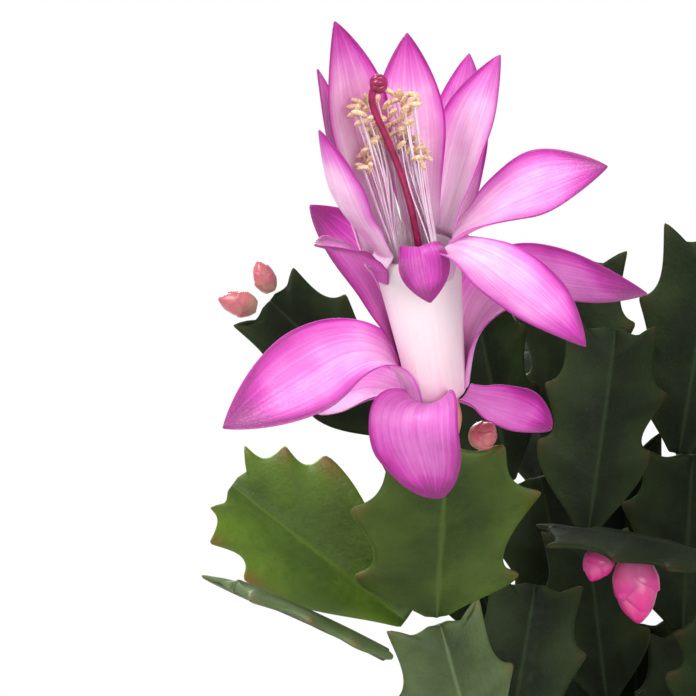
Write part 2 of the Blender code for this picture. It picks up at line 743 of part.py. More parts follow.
def main():
    for obj in list(bpy.data.objects):
        bpy.data.objects.remove(obj)
    make_pot()
    make_soil()
    joints = make_branches()
    flower = flower_frame(joints["flower_segment"])
    make_tube(flower)
    make_ovary(flower)
    make_tepals(flower)
    make_pistil(flower)
    make_stamens(flower)
    make_buds(joints)
    return joints


main()
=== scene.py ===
# %% [markdown]
# # A Christmas cactus in flower, in its clay pot
#
# This lesson dresses a measured model of the plant. The measured model gives every piece its place and its
# size. Here each piece is made again with the shape and the finish that the real one has: toothed green
# blades, thin tepals with coloured margins, pollen, baked clay and crumbly soil.
#
# Lengths are written in millimetres, because that is how one thinks of a flower, and are turned into
# Blender's metres when a mesh is made.

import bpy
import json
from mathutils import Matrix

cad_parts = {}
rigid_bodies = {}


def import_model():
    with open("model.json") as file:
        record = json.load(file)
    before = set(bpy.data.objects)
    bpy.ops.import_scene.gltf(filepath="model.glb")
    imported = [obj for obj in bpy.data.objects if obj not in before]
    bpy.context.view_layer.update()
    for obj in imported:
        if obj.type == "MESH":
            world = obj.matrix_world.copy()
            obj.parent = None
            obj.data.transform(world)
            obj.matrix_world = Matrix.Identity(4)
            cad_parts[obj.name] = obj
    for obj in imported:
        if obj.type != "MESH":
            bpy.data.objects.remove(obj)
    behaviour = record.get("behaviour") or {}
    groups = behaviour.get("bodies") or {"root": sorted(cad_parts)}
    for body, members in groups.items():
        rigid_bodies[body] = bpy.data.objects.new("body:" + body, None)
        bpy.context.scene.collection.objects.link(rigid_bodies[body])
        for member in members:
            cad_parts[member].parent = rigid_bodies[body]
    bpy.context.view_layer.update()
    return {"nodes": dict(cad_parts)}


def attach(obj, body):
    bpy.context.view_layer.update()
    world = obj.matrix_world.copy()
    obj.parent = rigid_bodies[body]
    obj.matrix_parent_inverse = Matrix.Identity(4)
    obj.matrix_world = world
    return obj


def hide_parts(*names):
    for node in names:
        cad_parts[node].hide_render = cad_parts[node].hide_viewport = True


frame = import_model()
print("measured nodes:", len(frame["nodes"]))

# %% [markdown]
# ## Small tools
#
# A grid is the start of every leafy piece. Blender's own grid comes with a UV map that runs across and along
# it, so when its rows are moved onto a blade the map stays: veins and coloured margins can follow it later.

# %% Small tools
import json
import math
from collections import namedtuple

import bmesh
import bpy
from mathutils import Matrix, Vector, noise

MM = 0.001


def deselect():
    bpy.ops.object.select_all(action="DESELECT")


def turn(axis, degrees):
    return Matrix.Rotation(math.radians(degrees), 4, axis)


def wobble(*seeds):
    """A fixed number between -1 and 1 that differs from one plant part to the next."""
    return math.sin(sum(seed * step for seed, step in zip(seeds, (12.9898, 78.233, 37.719))) + 0.7)


def smooth_step(x):
    x = min(1.0, max(0.0, x))
    return x * x * (3 - 2 * x)


def laid_grid(name, rows):
    """A grid whose rows of points are moved to the given places."""
    deselect()
    bpy.ops.mesh.primitive_grid_add(
        x_subdivisions=len(rows[0]) - 1, y_subdivisions=len(rows) - 1, size=MM, location=(0, 0, 0)
    )
    obj = bpy.context.object
    obj.name = name
    obj.data.vertices.foreach_set("co", [c * MM for row in rows for point in row for c in point])
    return obj


def apply_modifiers(obj):
    bpy.context.view_layer.objects.active = obj
    for modifier in list(obj.modifiers):
        bpy.ops.object.modifier_apply(modifier=modifier.name)


def face_outwards(obj):
    bm = bmesh.new()
    bm.from_mesh(obj.data)
    bmesh.ops.recalc_face_normals(bm, faces=bm.faces)
    bm.to_mesh(obj.data)
    bm.free()


def thicken(obj, thickness, shares, least, levels=1):
    """Gives a sheet its thickness: shares holds a part of it for each point, from least to 1."""
    group = obj.vertex_groups.new(name="thick")
    for index, share in enumerate(shares):
        group.add([index], (min(1.0, share) - least) / (1 - least), "REPLACE")
    solid = obj.modifiers.new("thickness", "SOLIDIFY")
    solid.thickness = thickness * MM
    solid.offset = 0.0
    solid.vertex_group = group.name
    solid.thickness_vertex_group = least
    if levels:
        smooth = obj.modifiers.new("smooth", "SUBSURF")
        smooth.levels = levels
        smooth.render_levels = levels
    apply_modifiers(obj)
    face_outwards(obj)
    obj.data.shade_smooth()


def joined(name, pieces):
    """One object from several."""
    deselect()
    for piece in pieces:
        piece.select_set(True)
    bpy.context.view_layer.objects.active = pieces[0]
    if len(pieces) > 1:
        bpy.ops.object.join()
    pieces[0].name = name
    pieces[0].data.name = name
    return pieces[0]


def swept(name, spine, sides=12, flatten=1.0):
    """A closed round rod through (point, radius) pairs. UV runs round and along it."""
    rows = []
    for index, (point, radius) in enumerate(spine):
        ahead = spine[min(index + 1, len(spine) - 1)][0] - spine[max(index - 1, 0)][0]
        quat = ahead.normalized().to_track_quat("Z", "Y")
        ring = []
        for step in range(sides + 1):
            angle = math.tau * step / sides
            offset = Vector((radius * math.cos(angle), radius * flatten * math.sin(angle), 0))
            ring.append(point + quat @ offset)
        rows.append(ring)
    obj = laid_grid(name, rows)
    close_rod(obj, rows)
    return obj


def close_rod(obj, rows):
    """Welds a rod's seam and fills its two ends."""
    bm = bmesh.new()
    bm.from_mesh(obj.data)
    columns = len(rows[0])
    bm.verts.ensure_lookup_table()
    targets = {bm.verts[r * columns + columns - 1]: bm.verts[r * columns] for r in range(len(rows))}
    bmesh.ops.weld_verts(bm, targetmap=targets)
    ends = [edge for edge in bm.edges if edge.is_boundary]
    bmesh.ops.holes_fill(bm, edges=ends, sides=0)
    bmesh.ops.recalc_face_normals(bm, faces=bm.faces)
    bm.to_mesh(obj.data)
    bm.free()
    obj.data.shade_smooth()


def rounded(points, steps):
    """More points on a smooth curve through (point, radius) pairs."""
    made = []
    last = len(points) - 1
    for index in range(last):
        p0, p1 = points[max(index - 1, 0)], points[index]
        p2, p3 = points[index + 1], points[min(index + 2, last)]
        for step in range(steps):
            t = step / steps
            weights = (
                -0.5 * t + t * t - 0.5 * t**3,
                1 - 2.5 * t * t + 1.5 * t**3,
                0.5 * t + 2 * t * t - 1.5 * t**3,
                -0.5 * t * t + 0.5 * t**3,
            )
            four = (p0, p1, p2, p3)
            spot = sum((w * p[0] for w, p in zip(weights, four)), Vector((0, 0, 0)))
            made.append((spot, sum(w * p[1] for w, p in zip(weights, four))))
    return made + [points[last]]


def settle(piece, node, slot, *materials):
    """Gives a finished piece its materials, hangs it on the root body and hides the measured node it stands
    for.
    """
    piece.data.materials.clear()
    for finish in materials:
        piece.data.materials.append(finish)
    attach(piece, "root")
    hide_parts(node)


print("tools ready")

# %% [markdown]
# ## Finishes
#
# One function adds a node with its settings and its links, another turns a colour written as on a paint chip
# into the linear light that a shader works in, and a few short ones name the steps that come back in every
# material. Each material is named for what the real surface is.

# %% Functions that the materials share


def linear(hex_code):
    """An sRGB colour written as hex, as the linear values that shaders use."""
    parts = [int(hex_code[i : i + 2], 16) / 255 for i in (1, 3, 5)]
    return (*(p / 12.92 if p <= 0.04045 else ((p + 0.055) / 1.055) ** 2.4 for p in parts), 1.0)


def add(tree, kind, inputs=None, stops=None, **settings):
    """Adds a shader node. An input is a value, or another node's output to link; stops colour a ramp."""
    made = tree.nodes.new("ShaderNode" + kind)
    for key, value in settings.items():
        setattr(made, key, value)
    if stops:
        ramp = made.color_ramp
        while len(ramp.elements) < len(stops):
            ramp.elements.new(1.0)
        for element, (place, paint) in zip(ramp.elements, stops):
            element.position = place
            element.color = linear(paint) if isinstance(paint, str) else (paint, paint, paint, 1.0)
    for key, value in (inputs or {}).items():
        if isinstance(value, bpy.types.NodeSocket):
            tree.links.new(value, made.inputs[key])
        else:
            made.inputs[key].default_value = value
    return made


def new_material(name, **shader_inputs):
    """An empty material with a Principled shader; returns the material, its tree and its shader."""
    made = bpy.data.materials.new(name)
    made.use_nodes = True
    tree = made.node_tree
    shader = tree.nodes["Principled BSDF"]
    for key, value in shader_inputs.items():
        shader.inputs[key.replace("_", " ")].default_value = value
    return made, tree, shader


def calc(tree, operation, *values):
    """The output of a Math node on outputs and plain numbers."""
    return add(tree, "Math", dict(enumerate(values)), operation=operation).outputs[0]


def remap(tree, value, low, high, to_low, to_high):
    return add(tree, "MapRange", {0: value, 1: low, 2: high, 3: to_low, 4: to_high}).outputs[0]


def blend(tree, amount, first, second):
    """The output of a Mix node on two colours."""
    return add(tree, "Mix", {0: amount, 6: first, 7: second}, data_type="RGBA").outputs[2]


def ramp(tree, value, stops):
    return add(tree, "ValToRGB", {0: value}, stops=stops).outputs[0]


def in_metres(tree):
    return add(tree, "TexCoord").outputs["Object"]


def grain_at(tree, scale, detail, roughness=0.5, at=None):
    """A noise in the object's own metres, or at the place that another node gives."""
    place = in_metres(tree) if at is None else at
    settings = {0: place, "Scale": scale, "Detail": detail, "Roughness": roughness}
    return add(tree, "TexNoise", settings).outputs[0]


def stretched(tree, place, scale):
    return add(tree, "Mapping", {0: place, "Scale": scale}).outputs[0]


def leaf_map(tree):
    """A blade's UV map, how far along the blade that is, and how far out from its middle."""
    uv = add(tree, "UVMap", uv_map="UVMap").outputs[0]
    split = add(tree, "SeparateXYZ", {0: uv})
    across = calc(tree, "SUBTRACT", split.outputs[0], 0.5)
    side = calc(tree, "ABSOLUTE", calc(tree, "MULTIPLY", across, 2.0))
    return uv, split.outputs[1], side


def surface(tree, paint, relief, strength, distance):
    """Gives the shader its colour and its bump."""
    shader = tree.nodes["Principled BSDF"]
    tree.links.new(paint, shader.inputs["Base Color"])
    bump = add(tree, "Bump", {"Strength": strength, "Distance": distance, "Height": relief})
    tree.links.new(bump.outputs[0], shader.inputs["Normal"])


print("material functions ready")

# %% [markdown]
# ### Tepals
#
# A tepal of this flower is pale at its claw and along its middle, and a full magenta at its margins and tip.
# The UV map across and along the blade drives that: the further along, and the nearer the margin, the
# further up one ramp of colours. Fine veins run lengthwise, so the noise that draws them is stretched along.
# The tissue is under a millimetre thick and light passes into it, which subsurface scattering gives.

# %% Tepal tissue
PALE_BLUSH = "#F2DDEA"
SOFT_PINK = "#E6ADD6"
ORCHID = "#D274C2"
MAGENTA = "#B72CA0"
DEEP_MAGENTA = "#860C70"


def tepal_material(name, flush, pale):
    """flush moves the whole blade towards magenta; pale keeps the claw and middle white for longer."""
    made, tree, shader = new_material(
        name,
        Subsurface_Weight=0.45,
        Subsurface_Radius=(1.0, 0.45, 0.8),
        Subsurface_Scale=0.0012,
        Sheen_Weight=0.12,
        Sheen_Roughness=0.4,
        Coat_Weight=0.06,
        Coat_Roughness=0.3,
    )
    uv, length_share, side = leaf_map(tree)
    veins = grain_at(tree, 1.0, 3.0, 0.6, stretched(tree, uv, (26.0, 1.6, 1.0)))
    clouds = grain_at(tree, 160.0, 3.0)
    # How far up the ramp: the length of the blade first, then its margins and tip, then veins and clouds.
    along = calc(tree, "MULTIPLY_ADD", calc(tree, "POWER", length_share, 1.25), 0.36 - pale, flush)
    margin_strength = remap(tree, length_share, 0.15, 0.6, 0.1, 0.6)
    margin = calc(tree, "MULTIPLY", calc(tree, "POWER", side, 3.6), margin_strength)
    edge = remap(tree, side, 0.9, 1.0, 0.0, 0.3)
    tip = remap(tree, length_share, 0.74, 1.0, 0.0, 0.5)
    total = calc(tree, "ADD", along, margin)
    for part in (tip, edge):
        total = calc(tree, "ADD", total, part)
    for pattern, amount in ((veins, 0.55), (clouds, 0.4)):
        total = calc(tree, "MULTIPLY_ADD", calc(tree, "SUBTRACT", pattern, 0.5), amount, total)
    stops = ((0.0, PALE_BLUSH), (0.22, SOFT_PINK), (0.46, ORCHID), (0.76, MAGENTA), (1.0, DEEP_MAGENTA))
    # Cells a tenth of a millimetre across glitter on the surface; drawn a little coarser so that they show.
    cells = add(tree, "TexVoronoi", {0: in_metres(tree), "Scale": 2600.0}).outputs[0]
    relief = calc(tree, "MULTIPLY_ADD", cells, 0.25, veins)
    surface(tree, ramp(tree, total, stops), relief, 0.38, 0.00022)
    tree.links.new(remap(tree, cells, 0.0, 0.8, 0.3, 0.56), shader.inputs["Roughness"])
    return made


upper_tissue = tepal_material("tepal_tissue_upper", flush=0.02, pale=0.06)
lower_tissue = tepal_material("tepal_tissue_lower", flush=0.24, pale=-0.12)
bright_tissue = tepal_material("tepal_tissue_bright", flush=0.14, pale=-0.02)
rolled_tissue = tepal_material("tepal_tissue_rolled", flush=0.46, pale=0.16)
folded_tissue = tepal_material("tepal_tissue_folded", flush=0.68, pale=0.24)
TISSUES = {
    "upper_tepal_front": folded_tissue,
    "upper_tepal_front_left": folded_tissue,
    "lower_tepal_front": rolled_tissue,
    "lower_tepal_right": rolled_tissue,
    "lower_tepal_back": rolled_tissue,
    "upper_tepal_front_right": bright_tissue,
    "upper_tepal_right": bright_tissue,
}
print("tepal materials: 5, tepals with their own:", len(TISSUES))

# %% [markdown]
# ### Green blades
#
# The flat green blades are stems, with a waxy skin over wet tissue. The skin is darker between the veins and
# yellower where the blade is young and thin, its teeth are edged with red, and a fine pale bloom breaks up
# its shine. One function paints them all, from four greens and a few amounts: the young, mature and grey
# looks go with a segment's age, and the fourth look is painted shade, near-black greens for the blades
# that lie in the plant's own shade.

# %% Waxy stem skin
TOOTH_RED = "#7A2A24"


def skin_material(name, greens, roughness, glow, red, shine):
    """Three greens and one for the midrib, how matt the wax is, how much light gets in, how red the teeth are
    and how strongly the wax reflects."""
    deep, middle, light, rib = greens
    made, tree, shader = new_material(
        name,
        Subsurface_Weight=glow,
        Subsurface_Radius=(0.6, 1.0, 0.2),
        Subsurface_Scale=0.0016,
        Specular_IOR_Level=shine,
    )
    _, _, side = leaf_map(tree)
    patches = grain_at(tree, 90.0, 4.0)
    grain = grain_at(tree, 900.0, 3.0, 0.65)
    mixed = calc(tree, "MULTIPLY_ADD", patches, 0.9, remap(tree, side, 0.35, 1.0, 0.0, 0.3))
    mixed = calc(tree, "MULTIPLY_ADD", grain, 0.22, mixed)
    skin = ramp(tree, mixed, ((0.32, deep), (0.58, middle), (0.92, light)))
    ribbed = blend(tree, remap(tree, side, 0.015, 0.07, 0.65, 0.0), skin, linear(rib))
    tooth = add(tree, "Attribute", attribute_name="tooth").outputs["Fac"]
    painted = blend(tree, calc(tree, "MULTIPLY", tooth, red), ribbed, linear(TOOTH_RED))
    wax = remap(tree, grain, 0.3, 0.7, roughness - 0.1, roughness + 0.16)
    tree.links.new(wax, shader.inputs["Roughness"])
    pores = add(tree, "TexVoronoi", {0: in_metres(tree), "Scale": 1500.0}).outputs[0]
    surface(tree, painted, calc(tree, "MULTIPLY_ADD", pores, 0.35, grain), 0.45, 0.00025)
    return made


SKIN_LOOKS = (
    ("stem_skin_young", ("#263A06", "#384F0A", "#526C12", "#4C641B"), 0.46, 0.35, 0.6, 0.3),
    ("stem_skin_mature", ("#22320C", "#334612", "#4B6020", "#4E642A"), 0.48, 0.25, 0.25, 0.3),
    # Painted shade: near-black greens with little red on the teeth and a weak shine, for blades that lie in
    # shade.
    ("stem_skin_painted_shade", ("#0C1208", "#151E0D", "#263218", "#28361D"), 0.55, 0.1, 0.1, 0.12),
    ("stem_skin_grey_bloom", ("#2A381B", "#3F5029", "#5C6F45", "#62764C"), 0.55, 0.2, 0.3, 0.3),
)
young_skin, mature_skin, painted_shade_skin, grey_skin = (skin_material(*look) for look in SKIN_LOOKS)
print("stem skins:", len(SKIN_LOOKS))

# %% [markdown]
# ## The jointed stem
#
# A Christmas cactus grows in flat segments, each from the notched end of the one before. The tables below
# say which way every segment leans and turns, how long and wide it is, and how far it bends; the joint at
# the end of each one is worked out and carries the next. They are the measured model's own sizes, so each
# new blade falls on the one it stands for.

# %% Where the segments stand
NECK_HALF = 1.9  # half the width of the joint between two segments
SEAT_STEP = 4.2  # sideways distance between two segments that share a joint
BLADE_THICK = 2.6  # along the midrib
EDGE_SHARE = 0.34  # share of that at the margin
APEX_SHARE = 0.95  # where the next joint sits, as a share of the length
ROOTED = 1.6  # how deep an arm sits in the stem that it has grown together with
CLEARANCE = 0.4
SOIL_TOP = 87.5

Link = namedtuple("Link", "azimuth lean roll length width bend")
Branch = namedtuple("Branch", "node name parent seat links")
BRANCHES = (
    Branch("stem_front", "stem_front", None, (235, 13), (
        Link(228, 26, 75, 33, 10, 14),
        Link(218, 37, 60, 33.5, 18, 8),
    )),
    Branch("flower_stalk_segment", "flower_stalk_segment", "stem_front", 0, (
        Link(190, 14, 8, 39.5, 24, 6),
    )),
    Branch("front_right_segment", "front_right_segment", "stem_front", (-3.3, 3.5, 0), (
        Link(60, 20, -60, 40, 23, 6),
    )),
    Branch("flower_segment", "flower_segment", "flower_stalk_segment", 0, (
        Link(272, 25, 94, 38, 33, 4),
    )),
    Branch("left_upper_segment", "left_upper_segment", "flower_stalk_segment", (4.4, -2.5, 0.2), (
        Link(163, 56, 6, 40.5, 27, 4),
    )),
    Branch("left_lower_segment", "left_lower_segment", "flower_stalk_segment", (10.0, -0.2, -4.0), (
        Link(210, 58, 92, 35, 22, 6),
    )),
    Branch("stem_left_back", "stem_left_back", None, (195, 9), (
        Link(205, 14, 60, 41, 10, 8),
        Link(203, 18, 42, 45, 24, 8),
        Link(196, 22, 30, 45, 23, 6),
    )),
    Branch("left_back_segment", "left_back_segment", "stem_left_back", 0, (
        Link(184, 45, 14, 36, 22, 6),
    )),
    Branch("stem_middle_front", "stem_middle_front", None, (250, 5), (
        Link(205, 12, -15, 35, 9, 6),
        Link(200, 10, -20, 35, 22, 6),
        Link(190, 8, -15, 33, 23, 6),
    )),
    Branch("middle_segment", "middle_segment", "stem_middle_front", 0, (
        Link(20, 8, 170, 40, 25, 4),
    )),
    Branch("stem_middle_back", "stem_middle_back", None, (125, 7), (
        Link(175, 8, 40, 38, 9, 6),
        Link(182, 11, 64, 38, 23, 6),
        Link(190, 11, 6, 37, 25, 6),
    )),
    Branch("stem_middle_back", "middle_back_arm", "stem_middle_back", (0, -0.8, -0.4), (
        Link(86, 52, 100, 40, 23, 8),
        Link(92, 62, 80, 38, 22, 14),
    )),
    Branch("tall_left_segment", "tall_left_segment", "stem_middle_back", (7.0, 1.8, 0), (
        Link(206, 12, 0, 42, 24, 4),
    )),
    Branch("tall_right_segment", "tall_right_segment", "stem_middle_back", (-5.6, 1.1, 0), (
        Link(325, 2, 192, 42, 25, 4),
    )),
    Branch("stem_right_back", "stem_right_back", None, (60, 9), (
        Link(80, 5, -130, 39, 9, 6),
        Link(120, 5, -90, 39, 26, 6),
        Link(60, 3, -55, 37, 28, 6),
    )),
    Branch("stem_right_back", "right_back_arm_1", "stem_right_back", (0, 0.8, -0.4), (
        Link(70, 54, 96, 40, 23, 8),
        Link(62, 66, 84, 38, 22, 14),
    )),
    Branch("stem_right_back", "right_back_arm_2", "stem_right_back", (3.2, 0.3, 0), (
        Link(352, 46, 76, 40, 23, 8),
        Link(340, 64, 84, 38, 22, 14),
    )),
    Branch("tall_far_segment", "tall_far_segment", "stem_right_back", (-3.2, -2.3, 0), (
        Link(345, 8, 190, 43, 26, 4),
    )),
    Branch("stem_back", "stem_back", None, (97, 20), (
        Link(100, 5, -95, 38, 10, 6),
        Link(130, 6, -120, 38, 25, 6),
        Link(200, 5, -10, 38, 26, 6),
    )),
    Branch("stem_right_front", "stem_right_front", None, (300, 7), (
        Link(275, 10, 80, 37, 9, 8),
        Link(270, 18, 95, 37, 27, 8),
        Link(275, 20, 90, 36, 27, 8),
    )),
    Branch("stem_right_front", "right_front_arm", "stem_right_front", 1, (
        Link(330, 42, 70, 40, 23, 8),
        Link(322, 66, 80, 38, 22, 14),
    )),
    Branch("edge_on_segment", "edge_on_segment", "stem_right_front", -0.6, (
        Link(180, 72, 90, 34, 23, 14),
    )),
)
Tier = namedtuple("Tier", "name azimuths ring stem arms spread length width")
TIERS = (
    Tier("outer_spray", (10, 62, 113, 165, 217, 268, 320), 22, (44, 72), (98, 128), 26, 34, 22),
    Tier("middle_spray", (12, 62, 124, 160, 262, 313), 15, (30, 58), (92, 118), 28, 36, 23),
)


def spray_branches():
    """A stem of two segments in each direction of a tier, forking into two arms of two."""
    made = []
    for level, tier in enumerate(TIERS):
        for number, azimuth in enumerate(tier.azimuths):
            node = f"{tier.name}_{number + 1}"
            links = []
            for step, lean in enumerate(tier.stem):
                heading = azimuth + 4 * wobble(level, number, step)
                leaning = lean + 3 * wobble(level, number, step + 5)
                roll = 90 + 10 * wobble(level, number, step + 9)
                width = tier.width * (0.9 if step else 0.42)
                links.append(Link(heading, leaning, roll, tier.length, width, 10))
            made.append(Branch(node, node, None, (azimuth, tier.ring), tuple(links)))
            for side in (-1, 1):
                links = []
                for step, lean in enumerate(tier.arms):
                    heading = azimuth + side * tier.spread * (1 + 0.25 * step)
                    leaning = lean + 7 * wobble(level, number, step + 3 * side)
                    roll = 90 + 14 * wobble(level, number, step + 11 * side)
                    length = tier.length * (1 + 0.06 * wobble(level, number, side))
                    links.append(Link(heading, leaning, roll, length, tier.width, 12))
                made.append(Branch(node, f"{node}_{side}", node, side, tuple(links)))
    return made


def blade_turn(link):
    return turn("Z", link.azimuth) @ turn("Y", link.lean) @ turn("Z", link.roll)


def arc_point(along, length, bend):
    """Point on a blade that bends flatwise through an arc, and how far it has turned there."""
    angle = math.radians(bend) * along / length
    radius = length / math.radians(bend)
    return Vector((0, -radius * (1 - math.cos(angle)), radius * math.sin(angle))), angle


def blade_end(link, start):
    point, angle = arc_point(link.length * APEX_SHARE, link.length, link.bend)
    return start @ Matrix.Translation(point) @ Matrix.Rotation(angle, 4, "X")


def branch_start(branch, joints, fused):
    """The frame in which a branch's first segment stands."""
    facing = blade_turn(branch.links[0])
    if branch.parent is None:
        angle, ring = math.radians(branch.seat[0]), branch.seat[1]
        joint = Matrix.Translation((ring * math.cos(angle), ring * math.sin(angle), SOIL_TOP))
        foot = Vector((0, 0, 0))
    else:
        joint = joints[branch.parent]
        foot = Vector(branch.seat if isinstance(branch.seat, tuple) else (branch.seat * SEAT_STEP, 0, 0))
    if fused:
        foot.z -= ROOTED
    else:
        up = joint.to_3x3() @ Vector((0, 0, 1))
        dip = NECK_HALF * abs(up.dot(facing.to_3x3() @ Vector((1, 0, 0))))
        dip += BLADE_THICK / 2 * abs(up.dot(facing.to_3x3() @ Vector((0, 1, 0))))
        foot.z += CLEARANCE + dip
    return Matrix.Translation(joint @ foot) @ facing


def placed_segments():
    """Every segment as (node, link, frame), and the joint at the end of each branch."""
    joints, placed, seen = {}, [], set()
    for branch in (*BRANCHES, *spray_branches()):
        start = branch_start(branch, joints, branch.node in seen)
        seen.add(branch.node)
        for number, link in enumerate(branch.links):
            if number:
                start = Matrix.Translation(start.to_translation()) @ blade_turn(link)
            placed.append((branch.node, link, start))
            start = blade_end(link, start)
        joints[branch.name] = start
    return placed, joints


SEGMENTS, JOINTS = placed_segments()
print("segments:", len(SEGMENTS), "on", len({node for node, _, _ in SEGMENTS}), "nodes")

# %% [markdown]
# ### The outline of a blade
#
# Each margin swings out from a narrow joint, then runs from tooth to tooth. A tooth is hooked: the margin
# reaches it in a slow outward curve and leaves it straight inwards, round a deep bay like a crescent. The
# blade ends cut off between two horns, and the next segment grows from the notch between them. A sine whose
# argument starts fast gives the crescent, and the points lie closest together just past each tooth.

# %% Toothed margins
TEETH = ((0.40, 0.88), (0.68, 1.0), (1.0, 0.72))  # share of the length, share of the half width
TEETH_OF = {  # segments whose teeth stand elsewhere
    "flower_segment": ((0.28, 0.84), (0.70, 1.0), (1.0, 0.56)),
    "left_upper_segment": ((0.70, 1.0), (0.88, 0.86), (1.0, 0.48)),
}
BAY_DEPTH = 0.22


def margin(link, form, seed, neck_steps, bay_steps, apex_steps):
    """Points (across, along) up one margin, and the numbers of the points on a tooth."""
    half = link.width / 2
    teeth = [(along + 0.018 * wobble(seed, i), wide * (1 + 0.05 * wobble(seed, i + 4)))
             for i, (along, wide) in enumerate(form)]
    points, tips = [], []
    for step in range(neck_steps):
        u = step / neck_steps
        wide = NECK_HALF + (half * teeth[0][1] - NECK_HALF) * math.sin(math.pi / 2 * u) ** 1.2
        points.append((wide, u * teeth[0][0] * link.length))
    for (along, wide), (next_along, next_wide) in zip(teeth, teeth[1:]):
        tips.append(len(points))
        for step in range(bay_steps):
            u = (step / bay_steps) ** 1.5
            dip = BAY_DEPTH * math.sin(math.pi * u**0.5)
            points.append((half * (wide + (next_wide - wide) * u - dip),
                           link.length * (along + (next_along - along) * u)))
    tips.append(len(points))
    horn_along, horn_wide = teeth[-1]
    for step in range(apex_steps + 1):
        u = step / apex_steps
        wide = half * horn_wide + (NECK_HALF * 0.8 - half * horn_wide) * u
        drop = (horn_along - APEX_SHARE) * min(1.0, 2.2 * u) + 0.02 * math.sin(math.pi * u)
        points.append((wide, link.length * (horn_along - drop)))
    return points, tips


print("points on a margin:", len(margin(SEGMENTS[0][1], TEETH, 0, 10, 12, 6)[0]))

# %% [markdown]
# ### The body of a blade
#
# A grid is moved onto the outline, one row for each pair of margin points, and given its thickness by a
# Solidify modifier whose vertex group is full on the midrib and thin at the margins. A low ridge stays along
# the midrib and along the vein that runs to each tooth. The two halves fold slightly, and the margins wave,
# because no living blade is flat.

# %% Blades
Detail = namedtuple("Detail", "neck bay apex columns levels")
CLOSE = Detail(10, 12, 6, 12, 1)
FAR = Detail(6, 7, 4, 8, 0)


def blade(node, link, start, seed, detail):
    """One segment as a closed piece, in its place."""
    steps = (detail.neck, detail.bay, detail.apex)
    form = TEETH_OF.get(node, TEETH)
    left, tips = margin(link, form, seed, *steps)
    right, _ = margin(link, form, seed + 50, *steps)
    last = len(left) - 1
    half_columns = detail.columns // 2
    rows, shares, tooth = [], [], []
    for row, ((wide_l, along_l), (wide_r, along_r)) in enumerate(zip(left, right)):
        rib, _ = arc_point(link.length * APEX_SHARE * row / last, link.length, link.bend)
        near_tip = max(math.exp(-(((row - tip) / 1.3) ** 2)) for tip in tips)
        points = []
        for column in range(detail.columns + 1):
            t = abs(column - half_columns) / half_columns
            t = t**1.15
            wide, along, side = (wide_l, along_l, -1) if column < half_columns else (wide_r, along_r, 1)
            edge, _ = arc_point(along, link.length, link.bend)
            spot = rib.lerp(edge + Vector((side * wide, 0, 0)), t)
            wave = 0.45 * math.sin(math.tau * (1.4 * along / link.length + 0.3 * side + 0.2 * wobble(seed)))
            spot.y += (-0.10 * abs(spot.x) * t + wave * t * t) * smooth_step(along / (0.3 * link.length))
            points.append(start @ spot)
            ridge = 0.30 * math.exp(-((t / 0.1) ** 2)) + 0.10 * near_tip * math.sin(math.pi * t)
            shares.append(EDGE_SHARE + (0.70 - EDGE_SHARE) * (1 - t) ** 0.8 + ridge)
            tooth.append(near_tip * t**9)
        rows.append(points)
    obj = laid_grid(f"{node}_blade", rows)
    mark = obj.data.attributes.new("tooth", "FLOAT", "POINT")
    mark.data.foreach_set("value", tooth)
    thicken(obj, BLADE_THICK, shares, EDGE_SHARE, detail.levels)
    return obj


# Every blade not listed here, the sprays too, gets the painted shade skin, whose darkness stands in for the
# shade these blades lie in.
SKINS = {
    "left_upper_segment": young_skin,
    "flower_segment": mature_skin,
    "left_lower_segment": grey_skin,
    "flower_stalk_segment": grey_skin,
    "stem_front": grey_skin,
}
pieces_of = {}
for number, (node, link, start) in enumerate(SEGMENTS):
    detail = FAR if "spray" in node else CLOSE
    pieces_of.setdefault(node, []).append(blade(node, link, start, number, detail))
for node, pieces in pieces_of.items():
    piece = joined(f"{node}_blades", pieces)
    slot = "old_stem" if node == "stem_front" else "segment"
    # The fallback skin is painted shade.
    settle(piece, node, slot, SKINS.get(node, painted_shade_skin))
print("blades:", len(pieces_of), "pieces")

# %% [markdown]
# ## The flower
#
# The flower stands on the end of its segment and leans forwards. Everything in it is placed in one frame
# whose Z axis runs up the tube from its base.

# %% The flower's frame
LEAN_FRONT, LEAN_LEFT = 17.3, 9.0
OVARY_LENGTH = 8.6
TUBE_RADII = ((0.0, 3.3), (1.6, 4.3), (8.0, 4.7), (16.0, 5.4), (23.0, 6.0), (26.0, 6.3))

lean = turn("X", LEAN_FRONT) @ turn("Y", -LEAN_LEFT)
flower_joint = JOINTS["flower_segment"].to_translation()
FLOWER = Matrix.Translation(flower_joint + lean @ Vector((0, 0, OVARY_LENGTH + 0.7))) @ lean


def tube_radius(height):
    """Outside radius of the tube at a height above its base."""
    for (low, narrow), (high, wide) in zip(TUBE_RADII, TUBE_RADII[1:]):
        if height <= high:
            return narrow + (wide - narrow) * (height - low) / (high - low)
    return TUBE_RADII[-1][1]


print("base of the tube, mm:", [round(v, 1) for v in FLOWER.to_translation()])

# %% [markdown]
# ### Tepals
#
# Each tepal is a strap with a narrow claw, widest past its middle and pointed. Its middle line is walked in
# short steps: it rises at one angle, bends at its knee and ends at another, and the blade across it is
# cupped. The margin is thinner than the middle and ripples a little.

